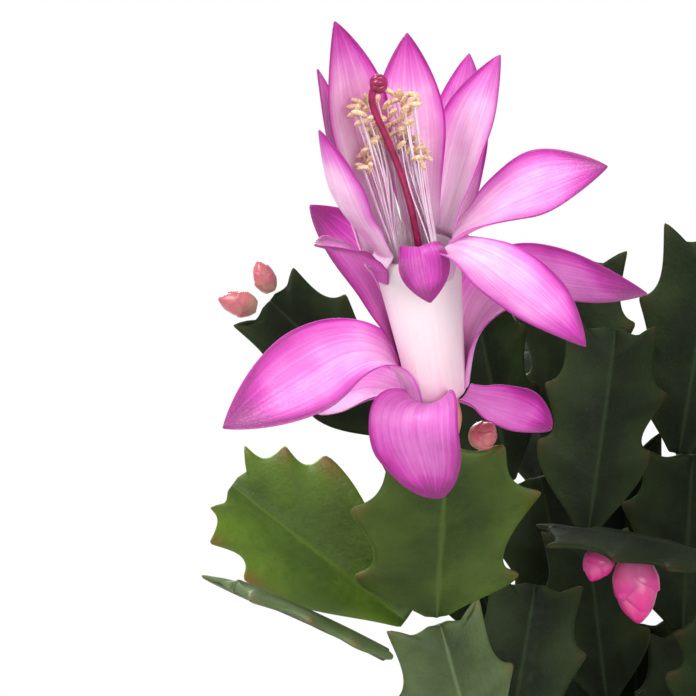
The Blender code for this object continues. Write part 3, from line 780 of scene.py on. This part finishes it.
# %% Tepals
Tepal = namedtuple("Tepal", "name azimuth height off length width widest rise fall knee twist cup")
TEPALS = (
    Tepal("lower_tepal_left", 196, 1.5, 0.9, 36.5, 13.6, 0.55, 86, -18, 0.26, -38, 30),
    Tepal("lower_tepal_back_left", 164, 0.2, 0.9, 18, 11.5, 0.55, 14, -22, 0.40, -15, 30),
    Tepal("lower_tepal_front", 251, 0.8, 0.9, 20.5, 14.5, 0.25, 40, -100, 0.22, 0, 40),
    Tepal("lower_tepal_right", 334, 0.2, 0.9, 15, 10.5, 0.55, -16, -18, 0.50, 5, 30),
    Tepal("lower_tepal_right_back", 22, 1.0, 0.9, 44, 13.5, 0.55, 75, -24, 0.35, 22, 30),
    Tepal("lower_tepal_back", 142, 6.6, 0.9, 29, 14, 0.55, 78, 40, 0.50, 0, 30),
    Tepal("upper_tepal_back_left", 147, 26.4, -0.5, 35, 12.5, 0.55, 82, 91, 0.50, -10, 40),
    Tepal("upper_tepal_back", 74, 26.4, -0.5, 30, 10.8, 0.55, 79, 75, 0.50, 0, 40),
    Tepal("upper_tepal_back_right_outer", 52, 20.8, 2.9, 31.2, 10.5, 0.55, 71, 66, 0.50, 0, 15),
    Tepal("upper_tepal_back_right", 35, 26.4, -0.5, 28, 12.0, 0.55, 59, 57, 0.50, 0, 40),
    Tepal("upper_tepal_right", -5, 26.4, -0.5, 26, 12.6, 0.55, 27, 15, 0.40, 28, 40),
    Tepal("upper_tepal_left_outer", 166, 23.6, 1.7, 31.6, 9.5, 0.55, 82, 88, 0.50, 0, 20),
    Tepal("upper_tepal_left", 213, 26.4, -0.5, 24, 9.5, 0.55, 60, 85, 0.50, 0, 45),
    Tepal("upper_tepal_front_left", 212, 24.6, 0.8, 12.5, 8.5, 0.55, 48, 30, 0.40, 0, 30),
    Tepal("upper_tepal_front", 277, 26.4, -0.5, 11.5, 7.2, 0.5, 85, -75, 0.24, 0, 30),
    Tepal("upper_tepal_front_right", 314, 26.4, -0.5, 29, 12, 0.5, 16, -27, 0.15, 0, 30),
)
CLAW_SHARE = 0.52  # width of the claw, as a share of the blade's
TUBE_FULLNESS = 1.09  # the tube and the claws round it are a little fuller than the plain solid
FULLNESS = 1.12  # a living blade is a little wider than the plain solid that stands for it
BLUNT = ("lower_tepal_front", "lower_tepal_right")  # tepals with a rounded tip
TEPAL_ROWS, TEPAL_COLUMNS = 44, 14
FEET = (-5.0, -2.6, -1.0)  # how far below its base the claw runs on down the outside of the tube
WALK_STEPS = 6  # steps along the middle line between two rows


def half_width(tepal, s):
    widest = tepal.width / 2 * FULLNESS
    if s < tepal.widest:
        return widest * (CLAW_SHARE + (1 - CLAW_SHARE) * smooth_step(s / tepal.widest))
    narrowing = math.cos(math.pi / 2 * (s - tepal.widest) / (1 - tepal.widest))
    return widest * narrowing ** (0.62 if tepal.name in BLUNT else 0.85)


def tepal_turn(tepal, s):
    rise = tepal.rise + (tepal.fall - tepal.rise) * smooth_step((s - tepal.knee) / 0.5 + 0.5)
    return (turn("Y", 90 - rise) @ turn("Z", tepal.twist * smooth_step(s / 0.6))).to_3x3()


def tepal_piece(tepal, seed):
    angle = math.radians(tepal.azimuth)
    distance = tube_radius(tepal.height) + tepal.off
    foot = Vector((distance * math.cos(angle), distance * math.sin(angle), tepal.height))
    place = FLOWER @ Matrix.Translation(foot) @ Matrix.Rotation(angle, 4, "Z")
    rows, shares = [], []
    for drop in FEET:
        drop *= min(1.0, tepal.length / 25)
        if tepal.height + drop <= 0:
            continue
        height = max(tepal.height + drop, 0.3)
        radius = TUBE_FULLNESS * tube_radius(height) + 0.3 + 0.05 * drop
        claw = half_width(tepal, 0) * (1 + 0.16 * drop)
        ring = []
        for column in range(TEPAL_COLUMNS + 1):
            v = claw / radius * (2 * column / TEPAL_COLUMNS - 1)
            spot = Vector((radius * math.cos(v) - distance, radius * math.sin(v), height - tepal.height))
            ring.append(place @ spot)
            shares.append(0.6)
        rows.append(ring)
    spine = Vector((0, 0, 0))
    for row in range(TEPAL_ROWS + 1):
        s = row / TEPAL_ROWS
        for step in range(WALK_STEPS if row > 0 else 0):
            t = (row - 1 + (step + 0.5) / WALK_STEPS) / TEPAL_ROWS
            spine = spine + tepal_turn(tepal, t) @ Vector((0, 0, tepal.length / TEPAL_ROWS / WALK_STEPS))
        half = max(half_width(tepal, s), 0.05)
        facing = tepal_turn(tepal, s)
        hug = min(half_width(tepal, s) / tube_radius(tepal.height), 1.2)
        cup = hug + (math.radians(tepal.cup) - hug) * smooth_step(s / 0.4)
        points = []
        for column in range(TEPAL_COLUMNS + 1):
            u = 2 * column / TEPAL_COLUMNS - 1
            v = cup * u
            ripple = 0.28 * math.sin(math.tau * (2.6 * s + 0.5 * (u > 0)) + 3 * wobble(seed)) * abs(u) ** 3
            keel = -0.22 * math.exp(-((u / 0.14) ** 2)) * smooth_step(s / 0.2) * (1 - s)
            offset = Vector((-half * (1 - math.cos(v)) / cup, half * math.sin(v) / cup, 0))
            offset.x += (ripple * smooth_step(s / 0.3) * (1 - s) - keel) * min(1.0, half / 2)
            points.append(place @ (spine + facing @ offset))
            shares.append((1 - 0.72 * abs(u) ** 2.5) * (1 - 0.5 * s))
        rows.append(points)
    obj = laid_grid(tepal.name + "_blade", rows)
    thicken(obj, 0.75, [max(share, 0.2) for share in shares], 0.2)
    return obj


for seed, tepal in enumerate(TEPALS):
    plain = lower_tissue if tepal.name.startswith("lower") else upper_tissue
    settle(tepal_piece(tepal, seed), tepal.name, "tepal", TISSUES.get(tepal.name, plain))
print("tepals:", len(TEPALS))

# %% [markdown]
# ### Tube and ovary
#
# The lower tepals are grown together at their claws into a white tube, faintly pink and veined lengthwise,
# and open at the throat. The ovary below it is a small fleshy green cone flushed with peach. Both are turned
# shapes: a grid is wrapped round the flower's axis, ring by ring.

# %% Turned pieces


def turned(name, profile, place, sides=48, ribs=0, depth=0.0):
    """A closed shell of revolution in a frame, from (radius, height) points; ribs press flutes into it."""
    rows = []
    for radius, height in profile:
        ring = []
        for step in range(sides + 1):
            angle = math.tau * step / sides
            wide = radius * (1 + depth * math.cos(ribs * angle))
            ring.append(place @ Vector((wide * math.cos(angle), wide * math.sin(angle), height)))
        rows.append(ring)
    obj = laid_grid(name, rows)
    close_rod(obj, rows)
    return obj


def through(profile, steps):
    """A smooth profile through (radius, height) points."""
    return [(spot.x, spot.z) for spot, _ in rounded([(Vector((r, 0, z)), 0.0) for r, z in profile], steps)]


def flesh(name, low, high, from_z, to_z, vein=0.0, **shader_inputs):
    """Soft wet tissue whose colour runs from low to high up the flower's axis."""
    settings = dict(Roughness=0.4, Subsurface_Weight=0.4, Subsurface_Radius=(1.0, 0.6, 0.6))
    settings.update(Subsurface_Scale=0.0015, Coat_Weight=0.08, Coat_Roughness=0.3, **shader_inputs)
    made, tree, _ = new_material(name, **settings)
    split = add(tree, "SeparateXYZ", {0: in_metres(tree)})
    height = remap(tree, split.outputs[2], from_z * MM, to_z * MM, 0.0, 1.0)
    uv = add(tree, "UVMap", uv_map="UVMap").outputs[0]
    lines = grain_at(tree, 1.0, 2.0, at=stretched(tree, uv, (60.0, 1.2, 1.0)))
    both = calc(tree, "MULTIPLY_ADD", grain_at(tree, 420.0, 3.0), 0.3, height)
    both = calc(tree, "MULTIPLY_ADD", lines, vein, both)
    surface(tree, ramp(tree, both, ((0.1, low), (1.0, high))), lines, 0.35, 0.0002)
    return made


base_z = FLOWER.to_translation().z
tube_tissue = flesh("tube_tissue", "#E6BCCB", "#F6E4EA", base_z - 2, base_z + 20, vein=0.35)
ovary_skin = flesh("ovary_skin", "#A3A04A", "#E8A48C", base_z - 9, base_z - 1)

THROAT_FLOOR = 6.0
outer = [(0.6, 0.0), (3.3, 0.15)]
outer += [(TUBE_FULLNESS * tube_radius(height), height) for height in (1.6, 8.0, 16.0, 22.0)]
outer = through(outer + [(6.2, 25.2)], 5)
inner = [(5.9, 25.6), (5.5, 25.2), (5.2, 23.0), (4.6, 16.0), (3.8, 7.0)]
inner += [(3.2, THROAT_FLOOR), (0.4, THROAT_FLOOR)]
tube = turned("floral_tube_wall", outer + inner, FLOWER, 64, ribs=5, depth=0.02)
settle(tube, "floral_tube", "tube", tube_tissue)

ovary_line = [(0.4, -8.6), (1.5, -8.5), (2.5, -6.6), (3.15, -4.1), (3.05, -1.6), (2.9, -0.4), (0.4, -0.4)]
ovary = turned("ovary_cone", through(ovary_line, 4), FLOWER, 40, ribs=5, depth=0.035)
settle(ovary, "ovary", "ovary", ovary_skin)
print("points on the tube's profile:", len(outer + inner))

# %% [markdown]
# ### Pistil
#
# The style is one long crimson rod that leaves the throat, leans left and hooks over at its end, where the
# sticky lobes of the stigma are pressed together into a knob. A circle is swept along a smooth line for the
# rod, and each lobe is a small rod of its own that runs from pole to pole over the knob.

# %% Pistil
STYLE_LINE = (
    (0.0, 0.0, 6.4),
    (0.2, 0.0, 14.0),
    (0.6, -0.4, 26.0),
    (0.0, -0.8, 36.0),
    (-1.6, -1.2, 44.0),
    (-2.8, -1.4, 49.0),
    (-2.6, -1.4, 51.4),
    (-1.5, -1.4, 52.6),
)
STYLE_RADIUS, LOBE_RADIUS, LOBE_REACH = 0.55, 0.55, 0.95
LOBES = 7
CORE_RADIUS = LOBE_REACH * 1.3

style_skin, _, _ = new_material(
    "style_skin",
    Roughness=0.3,
    Subsurface_Weight=0.2,
    Subsurface_Radius=(1.0, 0.3, 0.4),
    Subsurface_Scale=0.0008,
    Coat_Weight=0.3,
    Coat_Roughness=0.2,
)


def streaked(finish, low, high, scale, strength, distance):
    """Breaks up a surface and its colour with a fine noise, at a real grain size."""
    tree = finish.node_tree
    grain = grain_at(tree, scale, 3.0)
    surface(tree, ramp(tree, grain, ((0.35, low), (0.65, high))), grain, strength, distance)


streaked(style_skin, "#7A0838", "#A01054", 700.0, 0.3, 0.0001)


def on_flower(x, y, z):
    return FLOWER @ Vector((x, y, z))


style_spine = rounded([(on_flower(*spot), STYLE_RADIUS) for spot in STYLE_LINE], 6)
style = swept("style", style_spine, 16)
knob = on_flower(*STYLE_LINE[-1])
lobes = []
for number in range(LOBES):
    angle = math.tau * number / LOBES
    out = FLOWER.to_3x3() @ Vector((0, math.cos(angle), math.sin(angle)))
    axis = FLOWER.to_3x3() @ Vector((1, 0, 0))
    meridian = []
    for step in range(-2, 3):
        tilt = math.radians(38 * step)
        spot = knob + LOBE_REACH * (math.cos(tilt) * out + math.sin(tilt) * axis)
        meridian.append((spot, LOBE_RADIUS * (1 - 0.08 * abs(step))))
    lobes.append(swept("lobe", rounded(meridian, 4), 10))
latitudes = [math.pi * (0.03 + 0.94 * step / 10) for step in range(10, -1, -1)]
ball = [(max(CORE_RADIUS * math.sin(a), 0.1), CORE_RADIUS * math.cos(a)) for a in latitudes]
core = turned("stigma_core", ball, Matrix.Translation(knob), 20)
pistil = joined("style_and_stigma", [style, core] + lobes)
settle(pistil, "pistil", "style", style_skin)
print("stigma lobes:", len(lobes))

# %% [markdown]
# ### Stamens
#
# Some eighty white filaments, as thin as thread, rise out of the throat round the style and bow outwards
# a little. Each ends in an anther like a tiny sausage, hung by its middle and dusty with cream pollen. One
# filament and one anther are worked out from a number, and a loop makes the rest.

# %% Stamens
FILAMENTS = 84
FILAMENT_RADIUS = 0.12
ANTHER_LENGTH, ANTHER_RADIUS = 2.5, 0.46
FRONT_GAP = 100  # degrees at the front of the throat with no stamens, so that the style shows
STAMEN_LEAN = -1.2  # how far the anthers stand to the left of the tube's axis

filament_skin, _, _ = new_material(
    "filament_skin", Roughness=0.45, Subsurface_Weight=0.3, Subsurface_Scale=0.0008
)
pollen, _, _ = new_material("pollen", Roughness=0.95, Subsurface_Weight=0.1, Subsurface_Scale=0.0005)
streaked(filament_skin, "#E9BFD8", "#F6E3EE", 300.0, 0.1, 0.0001)
streaked(pollen, "#D9AC82", "#F5DEC0", 2400.0, 0.9, 0.0004)


def stamen(number):
    """One filament and its anther."""
    angle = math.radians(FRONT_GAP / 2 - 90 + (360 - FRONT_GAP) * (number * 0.618 % 1))
    reach = 44.6 + 4.6 * wobble(number, 1)
    spread = 1.8 + 3.0 * abs(wobble(number, 2))

    def spot(radius, height, lean=0.0):
        return on_flower(radius * math.cos(angle) + lean, radius * math.sin(angle), height)

    end = spot(spread, reach, STAMEN_LEAN)
    line = [(spot(2.4, THROAT_FLOOR + 0.8), FILAMENT_RADIUS), (spot(3.3, 24), FILAMENT_RADIUS)]
    line += [(spot(0.85 * spread, reach - 7, 0.6 * STAMEN_LEAN), FILAMENT_RADIUS), (end, 0.1)]
    tilt = Vector((wobble(number, 5), wobble(number, 6), 0.7 * wobble(number, 7))).normalized()
    bow = FLOWER.to_3x3() @ Vector((0, -0.25, 0.3))
    anther = []
    for step in range(7):
        t = step / 6 * 2 - 1
        thick = ANTHER_RADIUS * max(0.3, (1 - t**4) ** 0.5)
        anther.append((end + tilt * (t * ANTHER_LENGTH / 2) - bow * t * t, thick))
    return swept("filament", rounded(line, 5), 6), swept("anther", anther, 8, 0.85)


filaments, anthers = zip(*(stamen(number) for number in range(FILAMENTS)))
threads = joined("filaments", list(filaments))
dusty = joined("anthers", list(anthers))
for piece, finish in ((threads, filament_skin), (dusty, pollen)):
    settle(piece, "stamens", "stamen", finish)
print("stamens:", FILAMENTS)

# %% [markdown]
# ### Buds
#
# A bud is a spindle wrapped in overlapping scales, the youngest tepals, each a curved plate that hugs the one
# below. The scales are grids laid on the spindle and thickened; the outer ones are short, and the inner ones
# close over the tip. Their colour deepens from foot to tip.

# %% Buds
Bud = namedtuple("Bud", "name parent foot azimuth lean length width")
BUDS = (
    Bud("bud_left_tip_small", "left_back_segment", (-1.5, 0, 0.8), 180, 24, 6, 3.8),
    Bud("bud_left_tip", "left_back_segment", (2.2, 0, 0.8), 180, 78, 7, 4.6),
    Bud("bud_behind_flower", "tall_left_segment", (0, 0, 0.6), 200, 8, 9, 5.0),
    Bud("bud_beside_ovary", "flower_segment", (4.6, 0, 0.6), 320, 45, 5, 4.4),
    Bud("bud_hanging", "edge_on_segment", (0, -2.6, -14.3), 300, 172, 11.5, 7.6),
    Bud("bud_hanging_small", "edge_on_segment", (0, -1.9, -9.3), 195, 158, 6, 5.0),
)


def bud_material(name, base, tip):
    made, tree, _ = new_material(
        name,
        Roughness=0.33,
        Subsurface_Weight=0.35,
        Subsurface_Radius=(1.0, 0.4, 0.5),
        Subsurface_Scale=0.0012,
        Coat_Weight=0.15,
        Coat_Roughness=0.25,
    )
    _, length_share, _ = leaf_map(tree)
    grain = grain_at(tree, 700.0, 3.0)
    at = calc(tree, "MULTIPLY_ADD", grain, 0.35, length_share)
    surface(tree, ramp(tree, at, ((0.1, base), (1.0, tip))), grain, 0.3, 0.0002)
    return made


pink_bud = bud_material("bud_scales_pink", "#EE7FA4", "#D42A86")
peach_bud = bud_material("bud_scales_peach", "#D9A48A", "#C8606E")
BUD_PROFILE = ((0.35, 0.0), (0.75, 0.14), (0.98, 0.34), (0.94, 0.55), (0.66, 0.80), (0.28, 0.95), (0.06, 1.0))
BUD_SCALES = 7


def bud_radius(share):
    for (wide, low), (next_wide, high) in zip(BUD_PROFILE, BUD_PROFILE[1:]):
        if share <= high:
            return wide + (next_wide - wide) * (share - low) / (high - low)
    return BUD_PROFILE[-1][0]


def bud_scale(bud, place, number, reach, swell):
    """One scale: it starts at the foot, is widest below its middle and ends in a point."""
    rows, shares = [], []
    middle = math.tau * (number * 0.382 % 1)
    for row in range(13):
        t = row / 12
        share = reach * t
        spread = math.radians(88) * math.sin(math.pi * min(0.97, 0.22 + 0.78 * t)) ** 0.7 + 0.04
        radius = bud.width / 2 * bud_radius(share) * swell + 0.05
        points = []
        for column in range(9):
            u = column / 4 - 1
            angle = middle + spread * u
            lift = 1 + 0.05 * (1 - abs(u)) * t
            spot = (radius * lift * math.cos(angle), radius * lift * math.sin(angle), bud.length * share)
            points.append(place @ Vector(spot))
            shares.append(1 - 0.6 * abs(u) ** 2)
        rows.append(points)
    obj = laid_grid(f"{bud.name}_scale", rows)
    thicken(obj, 0.35, shares, 0.3)
    return obj


for bud in BUDS:
    foot = Matrix.Translation(JOINTS[bud.parent] @ Vector(bud.foot))
    place = foot @ turn("Z", bud.azimuth) @ turn("Y", bud.lean)
    half = bud.width / 2
    core = [(max(half * wide * 0.93, 0.1), bud.length * share) for wide, share in BUD_PROFILE]
    parts = [turned(bud.name + "_core", through(core, 4), place, 24)]
    for number in range(BUD_SCALES):
        parts.append(bud_scale(bud, place, number, 0.45 + 0.09 * number, 1.0 - 0.012 * number))
    finish = pink_bud if "hanging" in bud.name else peach_bud
    settle(joined(bud.name + "_scales", parts), bud.name, "bud", finish)
print("buds:", len(BUDS))

# %% [markdown]
# ## Pot and soil
#
# The clay pot was turned on a wheel, so it starts as a cylinder. Its top is scaled to the taper, extruded out
# and up for the rim, and pushed down to hollow it. Baked clay is porous and dull, with fine rings left by the
# turning and a pale bloom of salts that the water brings out.
#
# Two faults are known here. The last step takes the lip down with the hollow, because both lie flat at the
# rim's height, so the wall is paper-thin and stands outside the rim's step. And the three drain cutters are
# left as plugs through the floor, down to 10 mm below the foot, where the real pot has holes.

# %% The pot
POT_HEIGHT, POT_TOP_RADIUS, POT_FOOT_RADIUS = 98.0, 58.0, 41.0
POT_WALL, RIM_HEIGHT, RIM_STEP = 5.0, 24.0, 3.0
RIM_CHAMFER_RISE, RIM_CHAMFER_IN = 0.8, 0.6  # the rounded underside of the rim
DRAIN_RADIUS, DRAIN_CIRCLE, DRAIN_COUNT = 4.5, 21.0, 3


def wall_radius(height):
    return POT_FOOT_RADIUS + (POT_TOP_RADIUS - RIM_STEP - POT_FOOT_RADIUS) * height / POT_HEIGHT


def select_level(obj, height):
    """Selects only the faces that lie flat at a height."""
    for face in obj.data.polygons:
        face.select = all(abs(obj.data.vertices[v].co.z / MM - height) < 0.01 for v in face.vertices)


def edit_level(obj, height, *steps):
    """Selects the flat faces at a height and runs edit-mode operators on them."""
    bpy.ops.object.mode_set(mode="OBJECT")
    for part in (obj.data.vertices, obj.data.edges, obj.data.polygons):
        part.foreach_set("select", [False] * len(part))
    select_level(obj, height)
    bpy.ops.object.mode_set(mode="EDIT")
    for step in steps:
        step()
    bpy.ops.object.mode_set(mode="OBJECT")


def grow(rise, from_radius, to_radius):
    """Extrudes the selected face, lifts it and scales it from one radius to another."""
    bpy.ops.mesh.extrude_region_move(TRANSFORM_OT_translate={"value": (0, 0, rise * MM)})
    factor = to_radius / from_radius
    bpy.ops.transform.resize(value=(factor, factor, 1), center_override=(0, 0, 0))


deselect()
rim_low = POT_HEIGHT - RIM_HEIGHT
bpy.ops.mesh.primitive_cylinder_add(
    vertices=96, radius=POT_FOOT_RADIUS * MM, depth=rim_low * MM, location=(0, 0, rim_low / 2 * MM)
)
pot = bpy.context.object
pot.name = "clay_pot"
bpy.ops.object.transform_apply(location=True)
bpy.ops.object.mode_set(mode="EDIT")
bpy.ops.mesh.select_mode(type="FACE")
under_rim = wall_radius(rim_low)
rim_foot = under_rim + RIM_STEP - RIM_CHAMFER_IN
factor = under_rim / POT_FOOT_RADIUS
edit_level(
    pot, rim_low, lambda: bpy.ops.transform.resize(value=(factor, factor, 1), center_override=(0, 0, 0))
)
edit_level(pot, rim_low, lambda: grow(RIM_CHAMFER_RISE, under_rim, rim_foot))
chamfer_top = rim_low + RIM_CHAMFER_RISE
edit_level(pot, chamfer_top, lambda: grow(RIM_HEIGHT - RIM_CHAMFER_RISE, rim_foot, POT_TOP_RADIUS))
lip = POT_TOP_RADIUS - RIM_STEP - POT_WALL
edit_level(pot, POT_HEIGHT, lambda: grow(0.0, POT_TOP_RADIUS, lip))
edit_level(pot, POT_HEIGHT, lambda: grow(POT_WALL - POT_HEIGHT, lip, wall_radius(POT_WALL) - POT_WALL))
cutters = []
for number in range(DRAIN_COUNT):
    angle = math.tau * number / DRAIN_COUNT
    spot = (DRAIN_CIRCLE * MM * math.cos(angle), DRAIN_CIRCLE * MM * math.sin(angle), 0)
    bpy.ops.mesh.primitive_cylinder_add(
        vertices=32, radius=DRAIN_RADIUS * MM, depth=4 * POT_WALL * MM, location=spot
    )
    cutters.append(bpy.context.object)
for cutter in cutters:
    cut = pot.modifiers.new("drain", "BOOLEAN")
    cut.operation = "DIFFERENCE"
    cut.object = cutter
soften = pot.modifiers.new("worn_edges", "BEVEL")
soften.width = 1.2 * MM
soften.segments = 3
soften.limit_method = "ANGLE"
soften.angle_limit = math.radians(35)
apply_modifiers(pot)
for cutter in cutters:
    bpy.data.objects.remove(cutter)
deselect()
pot.select_set(True)
bpy.context.view_layer.objects.active = pot
bpy.ops.object.shade_smooth_by_angle(angle=math.radians(30))

clay, tree, _ = new_material("baked_clay", Roughness=0.9)
height = add(tree, "SeparateXYZ", {0: in_metres(tree)}).outputs[2]
sand = grain_at(tree, 1400.0, 2.0)
mixed = calc(tree, "MULTIPLY_ADD", sand, 0.3, grain_at(tree, 28.0, 5.0, 0.6))
body = ramp(tree, mixed, ((0.4, "#9C4F31"), (0.65, "#BC6B45"), (0.85, "#CB8460")))
low = remap(tree, height, 0.0, 0.05, 0.28, 0.0)
high = remap(tree, height, 0.066, 0.098, 0.0, 0.22)
salty = calc(tree, "ADD", grain_at(tree, 45.0, 6.0, 0.7), calc(tree, "ADD", low, high))
paint = blend(tree, remap(tree, salty, 0.62, 0.84, 0.0, 0.6), body, linear("#DCC3AE"))
rings = grain_at(tree, 1.0, 2.0, at=stretched(tree, in_metres(tree), (3.0, 3.0, 700.0)))
surface(tree, paint, calc(tree, "MULTIPLY_ADD", sand, 0.6, rings), 0.6, 0.0003)
settle(pot, "pot", "clay", clay)
print("pot faces:", len(pot.data.polygons))

# %% [markdown]
# ### Compost
#
# The compost is a dark, open mix of peat and bark. A turned block fills the pot, its top broken into many
# rings and pushed up and down by noise, and crumbs and white grains of perlite lie on it. Each of them is a
# small squashed ball of twenty faces, because there are hundreds.

# %% Soil
compost, tree, _ = new_material("compost", Roughness=0.95)
crumb = grain_at(tree, 420.0, 5.0, 0.7)
browns = ramp(tree, crumb, ((0.35, "#1D130D"), (0.55, "#3A281B"), (0.75, "#6A4E36")))
surface(tree, browns, crumb, 0.9, 0.0012)
perlite, _, _ = new_material("perlite", Roughness=0.85)
streaked(perlite, "#C9C4B8", "#F2EFE8", 900.0, 0.6, 0.0004)

inside = [(0.6, 5.4), (36.0, 5.4)] + [(wall_radius(z) - POT_WALL - 0.4, z) for z in (30.0, 60.0, 85.0)]
inside += [(47.0 - 2.0 * ring, 85.3 + 2.0 * smooth_step(ring / 9)) for ring in range(1, 24)]
soil = turned("compost_block", inside, Matrix.Identity(4), 96)
for vert in soil.data.vertices:
    x, y, z = (c / MM for c in vert.co)
    if z > 85.1:
        hills = 0.9 * noise.noise(Vector((x, y, 3)) * 0.28)
        clods = 0.5 * noise.noise(Vector((x, y, 7)) * 0.9)
        vert.co.z += (hills + clods - 0.3) * MM
LUMPS = 260
crumbs, grains = [], []
for number in range(LUMPS):
    angle = math.tau * (number * 0.618034 % 1)
    ring = 46.0 * math.sqrt((number + 0.5) / LUMPS)
    size = 0.7 + 0.6 * abs(wobble(number, 3))
    height = 87.0 - 1.6 * smooth_step((ring - 26) / 20)
    spot = (ring * math.cos(angle) * MM, ring * math.sin(angle) * MM, height * MM)
    deselect()
    bpy.ops.mesh.primitive_ico_sphere_add(subdivisions=1, radius=size * MM, location=(0, 0, 0))
    lump = bpy.context.object
    squash = Matrix.Diagonal((1.2, 0.9 + 0.3 * wobble(number, 4), 0.7, 1))
    lump.data.transform(Matrix.Translation(spot) @ turn("Z", number * 137) @ turn("X", number * 61) @ squash)
    (grains if number % 6 == 0 else crumbs).append(lump)
lumps = joined("compost_crumbs", [soil] + crumbs)
settle(lumps, "soil", "soil", compost)
settle(joined("perlite_grains", grains), "soil", "soil", perlite)
print("crumbs:", len(crumbs), "grains:", len(grains))

# %% [markdown]
# ## The studio
#
# A pale round table, a white room and large soft lamps: one from above on the left, one low in front to open
# the shadows, and one behind, so that light comes through the tepals and the thin green margins.

# %% Floor, room and lamps
deselect()
bpy.ops.mesh.primitive_cylinder_add(vertices=128, radius=0.40, depth=0.01, location=(0, 0, -0.0052))
floor = bpy.context.object
floor.name = "table_top"
floor_paint, _, _ = new_material("matt_white_table", Base_Color=linear("#EDEBE8"), Roughness=0.7)
floor.data.materials.append(floor_paint)

world = bpy.data.worlds.new("white_room")
bpy.context.scene.world = world
world.use_nodes = True
tree = world.node_tree
path = add(tree, "LightPath")
strength = add(tree, "MapRange", {0: path.outputs["Is Camera Ray"], 3: 0.55, 4: 1.0})
room = tree.nodes["Background"]
room.inputs[0].default_value = (1, 1, 1, 1)
tree.links.new(strength.outputs[0], room.inputs[1])
bpy.context.scene.view_settings.view_transform = "Standard"


def lamp(name, spot, aim, size, power):
    """A square soft lamp at a place, turned towards a point, both in metres."""
    data = bpy.data.lights.new(name, "AREA")
    data.size = size
    data.energy = power
    made = bpy.data.objects.new(name, data)
    bpy.context.scene.collection.objects.link(made)
    made.location = spot
    made.rotation_euler = (Vector(aim) - Vector(spot)).to_track_quat("-Z", "Y").to_euler()


FLOWER_AT = (-0.048, -0.055, 0.24)
lamp("window", (-0.55, -0.35, 0.85), FLOWER_AT, 0.5, 7.5)
lamp("fill", (0.3, -0.95, 0.4), FLOWER_AT, 0.6, 6.0)
lamp("behind", (-0.25, 0.7, 0.6), FLOWER_AT, 0.5, 7.0)
print("lamps: 3")

# %% [markdown]
# ## The camera
#
# A close view of the flower with a long lens, looking slightly down. The frame takes in the flower, the
# segments behind it and the edge of the crown.

# %% Camera
ELEVATION = math.radians(8)
LENS, SENSOR = 100, 36
FRAME_WIDTH = 109.272  # what the picture's width takes in at the flower, in millimetres
DISTANCE = FRAME_WIDTH * LENS / SENSOR
up = Vector((0, math.sin(ELEVATION), math.cos(ELEVATION)))
towards = Vector((0, -math.cos(ELEVATION), math.sin(ELEVATION)))
tube_base = Vector((-48, -55, 218))
camera_data = bpy.data.cameras.new("camera")
camera_data.lens = LENS
camera_data.sensor_width = SENSOR
camera_data.clip_start = 0.01
camera = bpy.data.objects.new("camera", camera_data)
bpy.context.scene.collection.objects.link(camera)
camera.location = (tube_base + towards * DISTANCE - Vector((1, 0, 0)) * 14.0 + up * 8.95) * MM
camera.rotation_euler = (math.radians(90) - ELEVATION, 0, 0)
bpy.context.scene.camera = camera
print("camera, mm:", [round(v / MM, 1) for v in camera.location])
